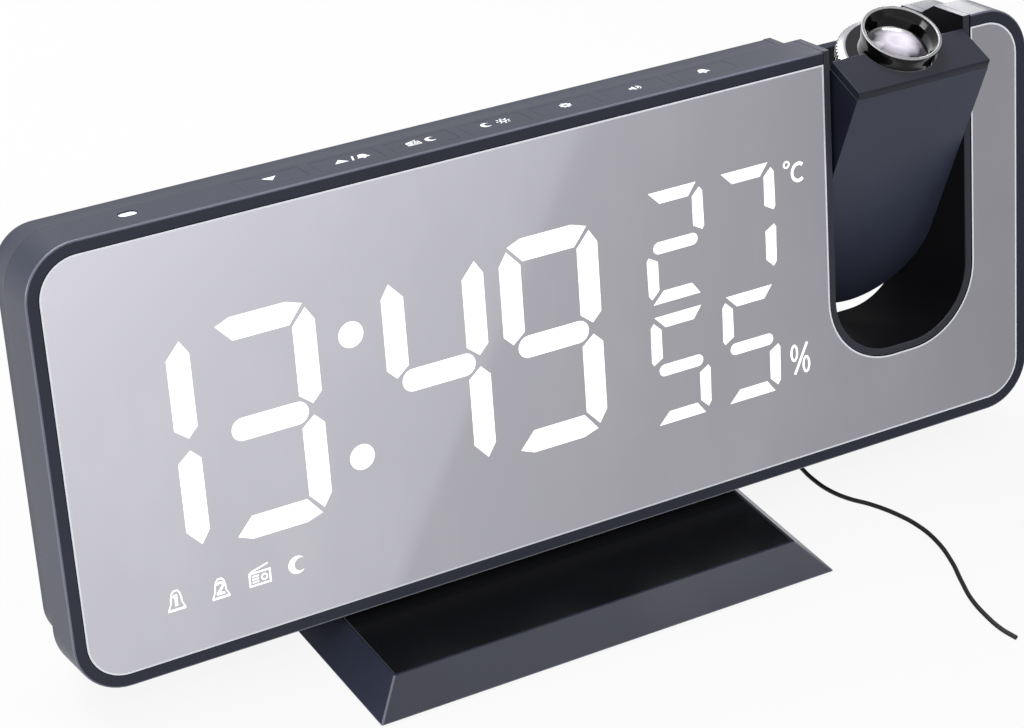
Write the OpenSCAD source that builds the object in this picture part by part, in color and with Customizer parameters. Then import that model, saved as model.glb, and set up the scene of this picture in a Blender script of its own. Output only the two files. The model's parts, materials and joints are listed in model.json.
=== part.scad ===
// Projection alarm clock: a leaning mirror-fronted LED clock with a tilting projector arm in a
// U-shaped slot, on a flat stand. Millimetres, +Z up, resting on z = 0.
// The body pieces are drawn in the body's own frame (x from its left edge, y back from its mirror
// face, z up from its bottom edge), then leaned back. The arm pieces are drawn upright in the
// slot, with x = 0 at the slot's middle, then tipped forward about the pivot.

/* [Body] */
// Width of the body
body_w = 186; // [180:1:200]
// Height of the body along its face
body_h = 74.6; // [73:0.2:84]
// Radius of the body's four corners
corner_r = 8.8; // [7.5:0.1:11]
// Depth of the front housing
front_depth = 8.4; // [8.2:0.1:10]
// Depth of the whole body, front housing and rear cover together
body_depth = 19.1; // [19:0.1:24]
// Thickness of the housing and cover walls
wall = 1.8; // [1.4:0.1:2]
// How far the rear cover steps in from the housing's outline
cover_inset = 1.9; // [1.7:0.1:3]
// How far the rear cover reaches back before its slope ends
cover_slope = 3.5; // [2:0.1:5]
// Chamfer round the rear cover's back edge
cover_chamfer = 1.5; // [0.5:0.1:2]
// Angle that the body leans back from upright
lean = 9.1; // [6:0.1:10]
// Height of the body's front bottom edge over the table
body_lift = 6.5; // [6.5:0.1:9]
// Clearance between pieces that are fitted and stay put
fit_gap = 0.1; // [0.05:0.05:0.2]

/* [Mirror and display] */
// Width of the front bezel round the mirror
bezel_w = 2.1; // [2:0.1:3]
// Thickness of the mirror panel
mirror_t = 1.8; // [1.5:0.1:2]
// Width of the ledge that carries the mirror
ledge_w = 2.5; // [2:0.1:3]
// Thickness of that ledge
ledge_t = 1.2; // [0.8:0.1:1.6]
// Depth of the display's reflector block
block_t = 3.9; // [3:0.1:4]
// Thickness of the lit segments' diffusers
diffuser_t = 1.2; // [0.8:0.1:2]
// Thickness of the main and key circuit boards
board_t = 1.6; // [1:0.1:1.6]
// Width of a large digit
digit_w = 18.5; // [16:0.5:19]
// Height of a large digit
digit_h = 37.7; // [30:0.1:40]
// Stroke width of a large digit
digit_t = 3.9; // [2.5:0.1:4.2]
// Distance from one large digit to the next of its pair
digit_pitch = 21.5; // [21.5:0.1:22]
// Bottom of the large digits
digit_z = 18.6; // [17:0.1:20]
// Width of a small digit
small_w = 11.6; // [9:0.1:12.5]
// Height of a small digit
small_h = 19.65; // [16:0.05:20]
// Stroke width of a small digit
small_t = 2.15; // [1.5:0.05:2.4]
// Distance from one small digit to the next
small_pitch = 14.2; // [14:0.1:15]

/* [Slot and arm] */
// Distance of the slot's middle from the body's left edge
slot_x = 158.6; // [156:0.1:160]
// Width of the slot cut in the housing, mirror and cover
slot_w = 30.8; // [30:0.1:33]
// Height of the slot's floor over the body's bottom edge
slot_floor = 16.4; // [14:0.1:17]
// Radius of the slot's lower corners
slot_r = 13.2; // [10:0.1:14]
// Wall thickness of the slot's liner
liner_t = 1.3; // [1:0.1:1.5]
// Running gap between the arm and the liner
arm_gap = 0.35; // [0.3:0.05:0.5]
// Depth of the arm from its front face to its back
arm_depth = 17.2; // [17:0.1:18]
// Height of the arm's lowest point over the body's bottom edge
arm_bottom = 21.4; // [21.4:0.1:24]
// Wall thickness of the arm's shells
arm_wall = 1.2; // [1:0.1:1.3]
// Thickness of the arm's top plate
top_plate_t = 1.6; // [1.2:0.1:2]
// Distance of the arm's pivot below the body's top edge
pivot_drop = 19.4; // [18:0.1:20.5]
// Angle that the arm tips forward of upright at rest
arm_tip = 26.2; // [0:0.1:40]
// Radius of the two pivot pins
pin_r = 3; // [2.5:0.1:3]
// Radial running clearance of pins, focus ring and lens barrel
run_gap = 0.06; // [0.03:0.01:0.09]

/* [Projector lens] */
// Radius of the lens barrel's neck
neck_r = 6.4; // [6:0.1:6.5]
// Radius of the lens barrel's rim
rim_r = 6.95; // [6.7:0.05:7.2]
// Height of the rim over the arm's top plate
rim_rise = 2.7; // [2:0.1:3.5]
// Radius of the focus ring's knurled half
ring_r = 9.95; // [9:0.05:10.5]
// Height of the focus ring
ring_h = 2.2; // [1.8:0.1:2.4]

/* [Keys] */
// Distance of the first top key from the body's left edge
key_x = 43.3; // [42:0.1:46]
// Distance from one top key to the next
key_pitch = 13.2; // [13:0.1:13.4]
// Width of a top key
key_w = 11; // [9:0.1:11]
// Depth of a top key from front to back
key_d = 4.6; // [3.6:0.1:4.8]
// Distance of the top keys' middle from the front face
key_y = 4.9; // [4.7:0.1:5.2]
// Gap round each top key
key_gap = 0.12; // [0.1:0.01:0.2]
// Travel of every key
key_travel = 0.5; // [0.3:0.05:0.5]
// Radius of the two rear keys
rear_key_r = 3; // [2.5:0.1:3.5]

/* [Stand] */
// Width of the stand
stand_w = 87.1; // [80:0.1:100]
// Depth of the stand
stand_d = 44; // [42:0.5:56]
// Height of the stand's top
stand_h = 5.1; // [5:0.1:5.1]
// Width of the bevel round the stand's top
stand_bevel = 5; // [3:0.1:6]
// Distance of the stand's middle to the right of the body's middle
stand_x = -8; // [-12:0.5:12]
// Wall thickness of the stand
stand_wall = 1.6; // [1.2:0.1:2]
// Thickness of the non-slip pad under the stand
pad_t = 0.9; // [0.6:0.1:1.2]
// Height of the stand's rim over the table
stand_rim = 0.3; // [0.2:0.1:0.4]
// Thickness of the glossy inlay on the stand
inlay_t = 0.5; // [0.4:0.1:0.8]
// Width of the tongue that carries the body
tongue_w = 40; // [30:1:44]
// Thickness of that tongue
tongue_t = 3; // [2.4:0.1:3.2]

/* [Rear fittings] */
// Radius of the loudspeaker
speaker_r = 14; // [12:0.5:15]
// Radius of the battery door
door_r = 12; // [11.8:0.1:12.5]
// Radius of the backup coin cell
cell_r = 10; // [9.5:0.1:10]
// Radius of the aerial lead
lead_r = 0.4; // [0.3:0.05:0.6]

/* [Hidden] */
$fn = 64;
// a cut's overshoot past the faces that it opens
over = 1;

// depths inside the body, from its mirror face
block_y = mirror_t;
board_y = block_y + block_t;
board_back = board_y + board_t;
cover_floor = body_depth - wall;
pivot_y = arm_depth / 2;
pivot_z = body_h - pivot_drop;
// the main board's outline
board_x0 = 5;
board_x1 = slot_x - slot_w / 2 - 2.7;
board_z0 = 10;
board_z1 = body_h - 12.6;
// places of the large and small digits' left edges, and of the colon
large_x = [for (pair = [0, 1]) for (i = [0, 1]) 6.2 + pair * 51.5 + i * digit_pitch];
colon_x = 52;
colon_z = [digit_z + 0.22 * digit_h, digit_z + 0.78 * digit_h];
colon_r = 2.2;
small_x = [for (i = [0, 1]) 106.8 + i * small_pitch];
small_z = [board_z0 + 6.4, board_z1 - 4.05 - small_h];
// status icons, then the degree and percent signs: [x, z, width, height]
icon_size = 3.9;
icons = [
    [17.7, board_z0 + 2.4, icon_size, icon_size], [25.3, board_z0 + 2.4, icon_size, icon_size],
    [32.2, board_z0 + 2.2, icon_size, icon_size], [38.8, board_z0 + 2.2, icon_size, icon_size],
    [136.5, small_z[1] + 16.8, 4.2, 4.4], [136.7, small_z[0] + 4.6, 4.2, 6.4]
];

// chips on the main board, from its middle: [x, z, width, height, thickness]
board_mid = [(board_x0 + board_x1) / 2, (board_z0 + board_z1) / 2];
chips = [
    [0, 12, 14, 14, 1.4], [18, 4, 10, 8, 1.4], [-16, 16, 8, 5, 1.6], [20, -12, 8, 5, 1.2]
];
// capacitors beside them: [x, z] from the board's middle
capacitors = [[-14, 4], [59, 16]];
capacitor_r = 2.5;
capacitor_h = 5.5;

// slot, liner and arm
liner_in = slot_w - 2 * liner_t - 2 * fit_gap;
arm_w = liner_in - 2 * arm_gap;
arm_in = arm_w - 2 * arm_wall;
arm_top = body_h;
plate_z = arm_top - top_plate_t;
rear_top = arm_top - 4.6;
ring_z = rear_top + 0.4;
ring_inner_r = 7;
neck_bore = neck_r + run_gap;
plate_hole_r = neck_r + 0.45;
rim_z = arm_top + rim_rise;
barrel_in_r = 5.5;
barrel_bottom = arm_top - 13.6;
tube_r = 7.2;
tube_bottom = arm_bottom + 24.6;
engine_w = 15;
engine_d = 13.6;
engine_bottom = arm_bottom + 6.6;
engine_wall = 1.2;
bush_r = 4.6;
bush_in = 11.6;
bush_flange_r = 5.4;
pin_in = 10.4;
pin_flange_r = 4.6;
pin_flange_t = 1.5;
pin_bore_r = 1.5;
liner_half = slot_w / 2 - fit_gap;
arm_boss_x = 10.1;
arm_boss_z = [arm_bottom + 11.6, rear_top - 6.4];

// keys and the board below them
key_count = 7;
flange_t = 0.7;
flange_side = 0.8;
key_board_z = body_h - 10.2;
key_board_y = [key_y - 3, key_y + 3];
switch_w = 4.4;
switch_h = 3.1;
switch_button_h = 0.9;
stem_r = 1.2;
sensor_x = 19.7;
sensor_y = 5.4;
window_w = 3;
window_d = 2;
// rear keys: x of each, and their common height
rear_key_x = [62, 76];
rear_key_z = 30;
rear_switch_t = 3.4;

// case screws: [x, z] of each
case_boss_r = 2.8;
case_screw_r = 1.1;
screw_head_r = 2.1;
screw_head_h = 1.6;
pilot_gap = 0.05;
key_fit = 0.08;
case_spots = [
    [7, 7], [46, 6.4], [130, 6.4], [body_w - 6.4, 7],
    [7, body_h - 7], [137.2, body_h - 6.4], [body_w - 6.4, body_h - 7]
];
head_seat_y = body_depth - 4.5;
board_spots = [[18, board_z1 - 4.5], [102, board_z1 - 4.5], [18, 20], [102, 15]];
board_post_r = 2.4;
board_screw_r = 0.9;

// rear fittings: [x, z] of each middle
speaker_at = [34, 40];
door_at = [118, 40];
power_at = [30, 14.5];
usb_at = [46, 17];
climate_at = [134.6, 23];
grommet_at = [141.6, 9];
speaker_t = 5;
cell_t = 3.2;
bay_floor_y = cover_floor - 5.7;
bay_deep_y = bay_floor_y + 1;
bay_r = door_r + 1.6;
door_fit = 0.08;
lip_r = door_r - 0.85;
groove_y = [cover_floor - 1.6, cover_floor - 0.6];
lug_angle = 60;
leaf_t = 0.3;
power_w = 9;
power_h = 10;
power_face_r = 3.6;
power_bore_r = 2.85;
usb_w = 13.1;
usb_h = 5.7;
usb_wall = 0.35;

// stand
stand_front = -stand_d / 2;
stand_left = stand_x - stand_w / 2;
body_y = -0.8;
tongue_x = body_w / 2 + stand_x;
tongue_y = cover_floor - 6.5;
tongue_top = 13;
socket_wall = 1.2;
stand_screw_z = 9.4;

// grommet and aerial lead
grommet_r = 1.9;
grommet_out = 1.2;
lead_root = leaned([grommet_at[0], body_depth + grommet_out - 0.8, grommet_at[1]]);
lead_start = leaned([grommet_at[0], body_depth + grommet_out, grommet_at[1]]);
// route of the aerial lead after the grommet, down to the table and out under the body
lead_route = [
    lead_start, lead_start + (lead_start - lead_root), lead_start + 2 * (lead_start - lead_root),
    [48.9, 23.4, 9.2], [49.2, 23.8, 5], [49.6, 22.6, 1.6],
    [49.9, 20, lead_r], [50, 15, lead_r], [49.6, 10, lead_r], [49.1, 6.9, lead_r],
    [48.8, 3.3, lead_r], [49.2, -1.2, lead_r], [50.6, -5, lead_r], [53, -8.6, lead_r],
    [55, -13, lead_r], [56.2, -18, lead_r], [56.1, -23.5, lead_r], [54.5, -29.9, lead_r],
    [52.5, -35, lead_r], [50.7, -40.2, lead_r], [49.9, -45.3, lead_r], [49.8, -49.2, lead_r],
    [50.4, -52.4, lead_r]
];
lead_steps = 3;
lead_sides = 8;

// a point of the body's own frame, leaned back and set over the stand
function leaned(p) = [
    p[0] - body_w / 2,
    body_y + p[1] * cos(lean) + p[2] * sin(lean),
    body_lift + p[2] * cos(lean) - p[1] * sin(lean)
];

// ---- frames ----

module leaning() {
    translate([0, body_y, body_lift])
        rotate([-lean, 0, 0])
            translate([-body_w / 2, 0, 0])
                children();
}

module on_pivot(tip) {
    leaning()
        translate([slot_x, pivot_y, pivot_z])
            rotate([tip, 0, 0])
                translate([0, -pivot_y, -pivot_z])
                    children();
}

module on_arm() {
    on_pivot(arm_tip)
        children();
}

// an x-z outline made a slab from depth y to depth y + t
module slab(y, t) {
    translate([0, y + t, 0])
        rotate([90, 0, 0])
            linear_extrude(t)
                children();
}

// a round rod along y, from depth y to depth y + t
module rod(x, z, y, t, r) {
    translate([x, y + t, z])
        rotate([90, 0, 0])
            cylinder(r = r, h = t);
}

// a round rod along x, from x0 to x1, about the arm's pivot
module axle(x0, x1, r) {
    translate([x0, pivot_y, pivot_z])
        rotate([0, 90, 0])
            cylinder(r = r, h = x1 - x0);
}

// ---- outlines ----

module rounded(w, h, r) {
    translate([r, 0])
        square([w - 2 * r, h]);
    translate([0, r])
        square([w, h - 2 * r]);
    for (x = [r, w - r], z = [r, h - r])
        translate([x, z])
            circle(r);
}

module body_outline(inset) {
    translate([inset, inset])
        rounded(body_w - 2 * inset, body_h - 2 * inset, corner_r - inset);
}

// the U of the slot, open at the top; grow widens it all round
module slot_outline(grow) {
    w = slot_w + 2 * grow;
    r = slot_r + grow;
    translate([slot_x - w / 2, slot_floor - grow]) {
        translate([0, r])
            square([w, body_h]);
        translate([r, 0])
            square([w - 2 * r, r + over]);
        for (x = [r, w - r])
            translate([x, r])
                circle(r);
    }
}

// the arm seen from the front, round at the bottom
module arm_outline(inset, top) {
    r = arm_w / 2 - inset;
    mid = arm_bottom + arm_w / 2;
    translate([0, mid])
        circle(r);
    translate([-r, mid])
        square([2 * r, top - mid]);
}

// the seven strokes of a digit, in the order a b c d e f g; small = 1 opens the waist more
function stroke_a(w, h, t, s) = [
    [0.5 * t, h - 0.35 * t * (1 - s)], [1.1 * t, h - t], [w - 1.1 * t, h - t],
    [w - 0.5 * t, h - 0.35 * t * (1 - s)], [w - (1 - 0.4 * s) * t, h], [(1 - 0.4 * s) * t, h]
];
function stroke_b(w, h, t, s) = [
    [w - t, h - 1.1 * t], [w - 0.35 * t, h - 0.5 * t], [w, h - t], [w, h / 2 + 0.8 * t],
    [w - (0.4 - 0.25 * s) * t, h / 2 + (0.27 + 0.38 * s) * t],
    [w - t, h / 2 + (0.72 + 0.33 * s) * t]
];
function turned_over(points, h) = [for (p = points) [p[0], h - p[1]]];
function turned_round(points, w) = [for (p = points) [w - p[0], p[1]]];
function strokes(w, h, t, s) = [
    stroke_a(w, h, t, s), stroke_b(w, h, t, s), turned_over(stroke_b(w, h, t, s), h),
    turned_over(stroke_a(w, h, t, s), h),
    turned_round(turned_over(stroke_b(w, h, t, s), h), w),
    turned_round(stroke_b(w, h, t, s), w)
];

module digit(w, h, t, s) {
    for (points = strokes(w, h, t, s))
        polygon(points);
    translate([0.65 * t, h / 2 - t / 2])
        rounded(w - 1.3 * t, t, 0.49 * t);
}

// every lit stroke of the display, as seen from the front
module all_strokes() {
    for (x = large_x)
        translate([x, digit_z])
            digit(digit_w, digit_h, digit_t, 0);
    for (z = colon_z)
        translate([colon_x, z])
            circle(colon_r);
    for (x = small_x, z = small_z)
        translate([x, z])
            digit(small_w, small_h, small_t, 1);
}

module icon_windows(grow) {
    for (i = icons)
        translate([i[0] - i[2] / 2 - grow, i[1] - i[3] / 2 - grow])
            square([i[2] + 2 * grow, i[3] + 2 * grow]);
}

// ---- body shells ----

module case_pilots(y0, y1) {
    for (p = case_spots)
        rod(p[0], p[1], y0, y1 - y0, case_screw_r + pilot_gap);
}

module key_holes() {
    for (i = [0 : key_count - 1]) {
        x = key_x + i * key_pitch;
        translate([x - key_w / 2 - key_gap, key_y - key_d / 2 - key_gap, body_h - wall - over])
            cube([key_w + 2 * key_gap, key_d + 2 * key_gap, wall + 2 * over]);
        // room under the wall for the key's side flanges
        translate([x - key_w / 2 - flange_side - 0.3, key_y - key_d / 2 - 0.3, key_board_z])
            cube([key_w + 2 * flange_side + 0.6, key_d + 0.6, body_h - wall - key_board_z]);
    }
}

module window_shape(grow) {
    d = window_d + 2 * grow;
    for (x = [-1, 1])
        translate([x * (window_w - window_d) / 2, 0])
            circle(d / 2);
    square([window_w - window_d, d], center = true);
}

// hangers that carry the key board from the housing's top wall
module key_board_hangers() {
    for (x = [key_x - key_pitch * 0.75, key_x + (key_count - 0.25) * key_pitch])
        translate([x - 1.4, key_y - 1.6, key_board_z + board_t])
            cube([2.8, 3.2, body_h - wall / 2 - key_board_z - board_t]);
}

module front_housing() {
    color("#2b2e38")
        leaning()
            difference() {
                union() {
                    difference() {
                        slab(0, front_depth)
                            body_outline(0);
                        slab(-over, mirror_t + over)
                            body_outline(bezel_w);
                        slab(mirror_t - 0.01, ledge_t + 0.01)
                            body_outline(bezel_w + ledge_w);
                        slab(mirror_t + ledge_t, front_depth)
                            body_outline(wall);
                    }
                    for (p = case_spots)
                        rod(p[0], p[1], mirror_t, front_depth - mirror_t, case_boss_r);
                    key_board_hangers();
                }
                slab(-over, front_depth + 2 * over)
                    slot_outline(0);
                case_pilots(mirror_t + ledge_t, front_depth + over);
                key_holes();
                translate([sensor_x, sensor_y, body_h - wall - over])
                    linear_extrude(wall + 2 * over)
                        window_shape(fit_gap);
            }
}

module mirror_panel() {
    color("#b9b7bf")
        leaning()
            difference() {
                slab(0, mirror_t)
                    body_outline(bezel_w + fit_gap);
                slab(-over, mirror_t + 2 * over)
                    slot_outline(0);
            }
}

// side view of the whole body, from y = 0 to its back
module side_profile() {
    slope_end = front_depth + cover_slope;
    polygon([
        [0, 0], [0, body_h], [front_depth, body_h], [slope_end, body_h - cover_inset],
        [body_depth - cover_chamfer, body_h - cover_inset],
        [body_depth, body_h - cover_inset - cover_chamfer], [body_depth, 0]
    ]);
}

// the U wall of the slot, with a low flange that locks it behind the mirror
module slot_liner() {
    color("#141417")
        leaning()
            difference() {
                union() {
                    intersection() {
                        slab(0, body_depth)
                            slot_outline(-fit_gap);
                        rotate([90, 0, 90])
                            linear_extrude(body_w)
                                side_profile();
                    }
                    intersection() {
                        slab(mirror_t, ledge_t)
                            slot_outline(1.1);
                        slab(mirror_t, ledge_t)
                            square([body_w, body_h - ledge_w - bezel_w - 0.2]);
                    }
                }
                slab(-over, body_depth + 2 * over)
                    slot_outline(-fit_gap - liner_t);
                translate([slot_x, 0, 0])
                    axle(-slot_w, slot_w, pin_r + 0.02);
            }
}

module cover_shell() {
    back = body_depth - cover_chamfer;
    slope_end = front_depth + cover_slope;
    hull() {
        slab(front_depth, 0.01)
            body_outline(0);
        slab(slope_end, 0.01)
            body_outline(cover_inset);
    }
    slab(slope_end, back - slope_end)
        body_outline(cover_inset);
    hull() {
        slab(back - 0.01, 0.01)
            body_outline(cover_inset);
        slab(body_depth - 0.01, 0.01)
            body_outline(cover_inset + cover_chamfer);
    }
}

module speaker_slots() {
    for (i = [-3 : 3]) {
        half = sqrt(pow(speaker_r - 3, 2) - pow(i * 2.8, 2));
        translate([speaker_at[0] - half, speaker_at[1] + i * 2.8 - 0.65])
            rounded(2 * half, 1.3, 0.64);
    }
}

module climate_slots() {
    for (i = [-2 : 2])
        translate([climate_at[0] - 4, climate_at[1] + i * 2.8 - 0.6])
            rounded(8, 1.2, 0.59);
}

// the walls that the tongue of the stand slides up between
module tongue_socket() {
    translate([tongue_x - tongue_w / 2 - socket_wall, tongue_y - socket_wall - fit_gap, wall])
        cube([
            tongue_w + 2 * socket_wall, tongue_t + 2 * socket_wall + 2 * fit_gap, tongue_top - wall
        ]);
    rod(tongue_x, stand_screw_z, tongue_y + tongue_t + fit_gap, cover_floor - tongue_y - tongue_t, 3.2);
}

module tongue_space(grow, top) {
    // the screw pulls the tongue against the socket's back wall
    translate([tongue_x - tongue_w / 2 - grow, tongue_y - 2 * grow, -over])
        cube([tongue_w + 2 * grow, tongue_t + 2 * grow, top + over]);
}

// cup for the coin cell, with a groove for the door's lugs
module battery_bay() {
    rod(door_at[0], door_at[1], bay_floor_y, cover_floor - bay_floor_y, bay_r);
}

module battery_bay_space() {
    rod(door_at[0], door_at[1], cover_floor, wall + over, door_r + door_fit);
    rod(door_at[0], door_at[1], bay_deep_y, cover_floor, lip_r);
    rod(door_at[0], door_at[1], groove_y[0], groove_y[1] - groove_y[0], door_r + 0.2);
    // entries for the two lugs
    intersection() {
        rod(door_at[0], door_at[1], groove_y[0], cover_floor - groove_y[0], door_r + door_fit);
        translate([door_at[0] - door_r - over, groove_y[0], door_at[1] - 3.4])
            cube([2 * (door_r + over), cover_floor, 6.8]);
    }
    // coin slot for the cell's contact
    translate([door_at[0] - 2, bay_floor_y - over, door_at[1] - 2])
        cube([4, 2 + over, 4]);
}

module rear_cover() {
    post_y = cover_floor - board_back;
    color("#26282f")
        leaning()
            difference() {
                union() {
                    difference() {
                        cover_shell();
                        slab(front_depth - over, cover_floor - front_depth + over)
                            body_outline(cover_inset + wall);
                    }
                    intersection() {
                        union() {
                            for (p = case_spots)
                                rod(p[0], p[1], front_depth, cover_floor - front_depth + 0.1,
                                    case_boss_r);
                            for (p = board_spots)
                                rod(p[0], p[1], board_back, post_y + 0.1, board_post_r);
                            battery_bay();
                            tongue_socket();
                            rod(speaker_at[0], speaker_at[1], cover_floor - 3, 3.1, speaker_r + 1.5);
                        }
                        slab(0, cover_floor + 0.1)
                            body_outline(cover_inset + 0.5);
                    }
                }
                slab(0, body_depth + over)
                    slot_outline(0);
                case_pilots(front_depth - over, body_depth);
                for (p = case_spots)
                    rod(p[0], p[1], head_seat_y, body_depth, screw_head_r + 0.25);
                for (p = board_spots)
                    rod(p[0], p[1], board_back - over, 6 + over, board_screw_r + pilot_gap);
                battery_bay_space();
                tongue_space(fit_gap, tongue_top - socket_wall);
                rod(tongue_x, stand_screw_z, tongue_y, body_depth, case_screw_r + pilot_gap);
                rod(tongue_x, stand_screw_z, head_seat_y + 1.4, body_depth, screw_head_r + 0.25);
                rod(speaker_at[0], speaker_at[1], cover_floor - 3 - over, 3 + over, speaker_r + 0.1);
                slab(cover_floor - over, wall + 2 * over)
                    speaker_slots();
                slab(cover_floor - over, wall + 2 * over)
                    climate_slots();
                for (x = rear_key_x)
                    rod(x, rear_key_z, cover_floor - over, wall + 2 * over, rear_key_r + key_fit);
                rod(power_at[0], power_at[1], cover_floor - over, wall + 2 * over, power_face_r + 0.2);
                translate([usb_at[0] - usb_w / 2 - 0.25, cover_floor - over, usb_at[1] - usb_h / 2 - 0.25])
                    cube([usb_w + 0.5, wall + 2 * over, usb_h + 0.5]);
                rod(grommet_at[0], grommet_at[1], cover_floor - over, wall + 2 * over,
                    grommet_r - 0.6 + 0.05);
            }
}

// round door that locks with two lugs and turns with a coin
module battery_door() {
    color("#26282f")
        leaning()
            difference() {
                union() {
                    rod(door_at[0], door_at[1], cover_floor + 0.05, wall - 0.05, door_r);
                    rod(door_at[0], door_at[1], groove_y[0] + 0.15, cover_floor - groove_y[0],
                        lip_r - 0.3);
                    intersection() {
                        rod(door_at[0], door_at[1], groove_y[0] + 0.15, 0.7, door_r - 0.1);
                        translate([door_at[0], 0, door_at[1]])
                            rotate([0, -lug_angle, 0])
                                translate([-door_r, 0, -2.6])
                                    cube([2 * door_r, body_depth, 5.2]);
                    }
                }
                rod(door_at[0], door_at[1], 0, cover_floor - 0.3, lip_r - 0.9);
                // coin slot across the door's face
                translate([door_at[0] - 6.5, body_depth - 0.9, door_at[1] - 0.9])
                    cube([13, 0.9 + over, 1.8]);
            }
}

module screw(x, z, tip_y, head_y, r, head_r, head_h) {
    difference() {
        union() {
            rod(x, z, tip_y, head_y - tip_y + 0.1, r);
            rod(x, z, head_y, head_h, head_r);
        }
        // cross recess
        for (a = [0, 90])
            translate([x, head_y + head_h, z])
                rotate([0, a, 0])
                    cube([1.3 * head_r, head_h, 0.25 * head_r], center = true);
    }
}

module case_screws() {
    color("#8f9196")
        leaning()
            for (p = case_spots)
                screw(p[0], p[1], mirror_t + ledge_t + 0.6, head_seat_y, case_screw_r, screw_head_r,
                    screw_head_h);
}

module board_screws() {
    color("#a9abb0")
        leaning()
            for (p = board_spots)
                translate([0, 2 * board_y, 0])
                    mirror([0, 1, 0])
                        screw(p[0], p[1], board_y - 6.4, board_y, board_screw_r, 1.7, 1.1);
}

// ---- display ----

module display_block() {
    color("#101013")
        leaning()
            difference() {
                slab(block_y, block_t)
                    translate([board_x0, board_z0])
                        square([board_x1 - board_x0, board_z1 - board_z0]);
                slab(block_y - over, block_t + 2 * over)
                    all_strokes();
                slab(block_y - over, block_t + 2 * over)
                    icon_windows(0);
                for (p = board_spots)
                    rod(p[0], p[1], block_y - over, block_t + 2 * over, 2);
            }
}

module display_segments() {
    color("white")
        leaning()
            slab(block_y, diffuser_t)
                all_strokes();
}

module status_icons() {
    color("white")
        leaning()
            slab(block_y, diffuser_t)
                icon_windows(0);
}

// one small lamp on the board behind each stroke, dot and icon
module display_leds() {
    lamp = [1.6, 0.7, 0.8];
    color("#f2eec0")
        leaning() {
            for (x = large_x)
                for (p = lamp_spots(digit_w, digit_h, digit_t))
                    lamp_at(x + p[0], digit_z + p[1], lamp);
            for (x = small_x, z = small_z)
                for (p = lamp_spots(small_w, small_h, small_t))
                    lamp_at(x + p[0], z + p[1], lamp);
            for (z = colon_z)
                lamp_at(colon_x, z, lamp);
            for (i = icons)
                lamp_at(i[0], i[1], lamp);
        }
}

module lamp_at(x, z, lamp) {
    translate([x - lamp[0] / 2, board_y - lamp[1], z - lamp[2] / 2])
        cube(lamp);
}

function lamp_spots(w, h, t) = concat(
    [for (z = [t / 2, h / 2, h - t / 2]) [w / 2, z]],
    [for (x = [t / 2, w - t / 2], z = [h * 0.27, h * 0.73]) [x, z]]
);

module main_board() {
    color("#1f5a3a")
        leaning()
            difference() {
                slab(board_y, board_t)
                    translate([board_x0, board_z0])
                        square([board_x1 - board_x0, board_z1 - board_z0]);
                for (p = board_spots)
                    rod(p[0], p[1], board_y - over, board_t + 2 * over, board_screw_r + 0.2);
            }
}

module chip(x, z, w, h, t) {
    translate([x - w / 2, board_back, z - h / 2])
        cube([w, t, h]);
}

module main_chips() {
    color("#1b1b1d")
        leaning() {
            for (c = chips)
                chip(board_mid[0] + c[0], board_mid[1] + c[1], c[2], c[3], c[4]);
            for (c = capacitors)
                rod(board_mid[0] + c[0], board_mid[1] + c[1], board_back, capacitor_h, capacitor_r);
        }
}

// ---- keys ----

module key_board() {
    x0 = sensor_x - 4;
    x1 = key_x + (key_count - 0.25) * key_pitch + 1.4;
    color("#1f5a3a")
        leaning()
            translate([x0, key_board_y[0], key_board_z])
                cube([x1 - x0, key_board_y[1] - key_board_y[0], board_t]);
}

module key_switches() {
    color("#2f2f33")
        leaning()
            for (i = [0 : key_count - 1])
                translate([key_x + i * key_pitch, key_y, key_board_z + board_t]) {
                    translate([-switch_w / 2, -switch_w / 2, 0])
                        cube([switch_w, switch_w, switch_h]);
                    cylinder(r = 1.5, h = switch_h + switch_button_h);
                }
}

// cap flush with the top, side flanges that hold it in, and a stem over its switch
module top_key(i) {
    flange_z = body_h - wall - fit_gap - flange_t;
    stem_z = key_board_z + board_t + switch_h + switch_button_h + key_travel + 0.05;
    color("#565a6b")
        leaning()
            translate([key_x + i * key_pitch, key_y, 0]) {
                translate([-key_w / 2, -key_d / 2, flange_z])
                    cube([key_w, key_d, body_h - flange_z]);
                translate([-key_w / 2 - flange_side, -key_d / 2, flange_z])
                    cube([key_w + 2 * flange_side, key_d, flange_t]);
                translate([0, 0, stem_z])
                    cylinder(r = stem_r, h = flange_z - stem_z + 0.1);
            }
}

module rear_switches() {
    color("#2f2f33")
        leaning()
            for (x = rear_key_x) {
                chip(x, rear_key_z, switch_w, switch_w, rear_switch_t);
                rod(x, rear_key_z, board_back, rear_switch_t + 0.9, 1.5);
            }
}

module rear_key(x) {
    flange_y = cover_floor - fit_gap - flange_t;
    stem_y = board_back + rear_switch_t + 0.9 + key_travel + 0.05;
    color("#3a3d47")
        leaning() {
            rod(x, rear_key_z, flange_y, body_depth + 0.7 - flange_y, rear_key_r);
            rod(x, rear_key_z, flange_y, flange_t, rear_key_r + 0.9);
            rod(x, rear_key_z, stem_y, flange_y - stem_y + 0.1, stem_r);
        }
}

// ---- sensors, sockets and loudspeaker ----

module light_sensor() {
    color("#33343c")
        leaning()
            translate([sensor_x, sensor_y, key_board_z + board_t]) {
                cylinder(r = 1.8, h = 1);
                cylinder(r = 1.5, h = 4);
                translate([0, 0, 4])
                    sphere(r = 1.5);
            }
}

module sensor_window() {
    color("#f4f4f6")
        leaning()
            translate([sensor_x, sensor_y, body_h - wall - 0.6]) {
                linear_extrude(wall + 0.4)
                    window_shape(0);
                linear_extrude(0.6)
                    window_shape(0.7);
            }
}

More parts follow.
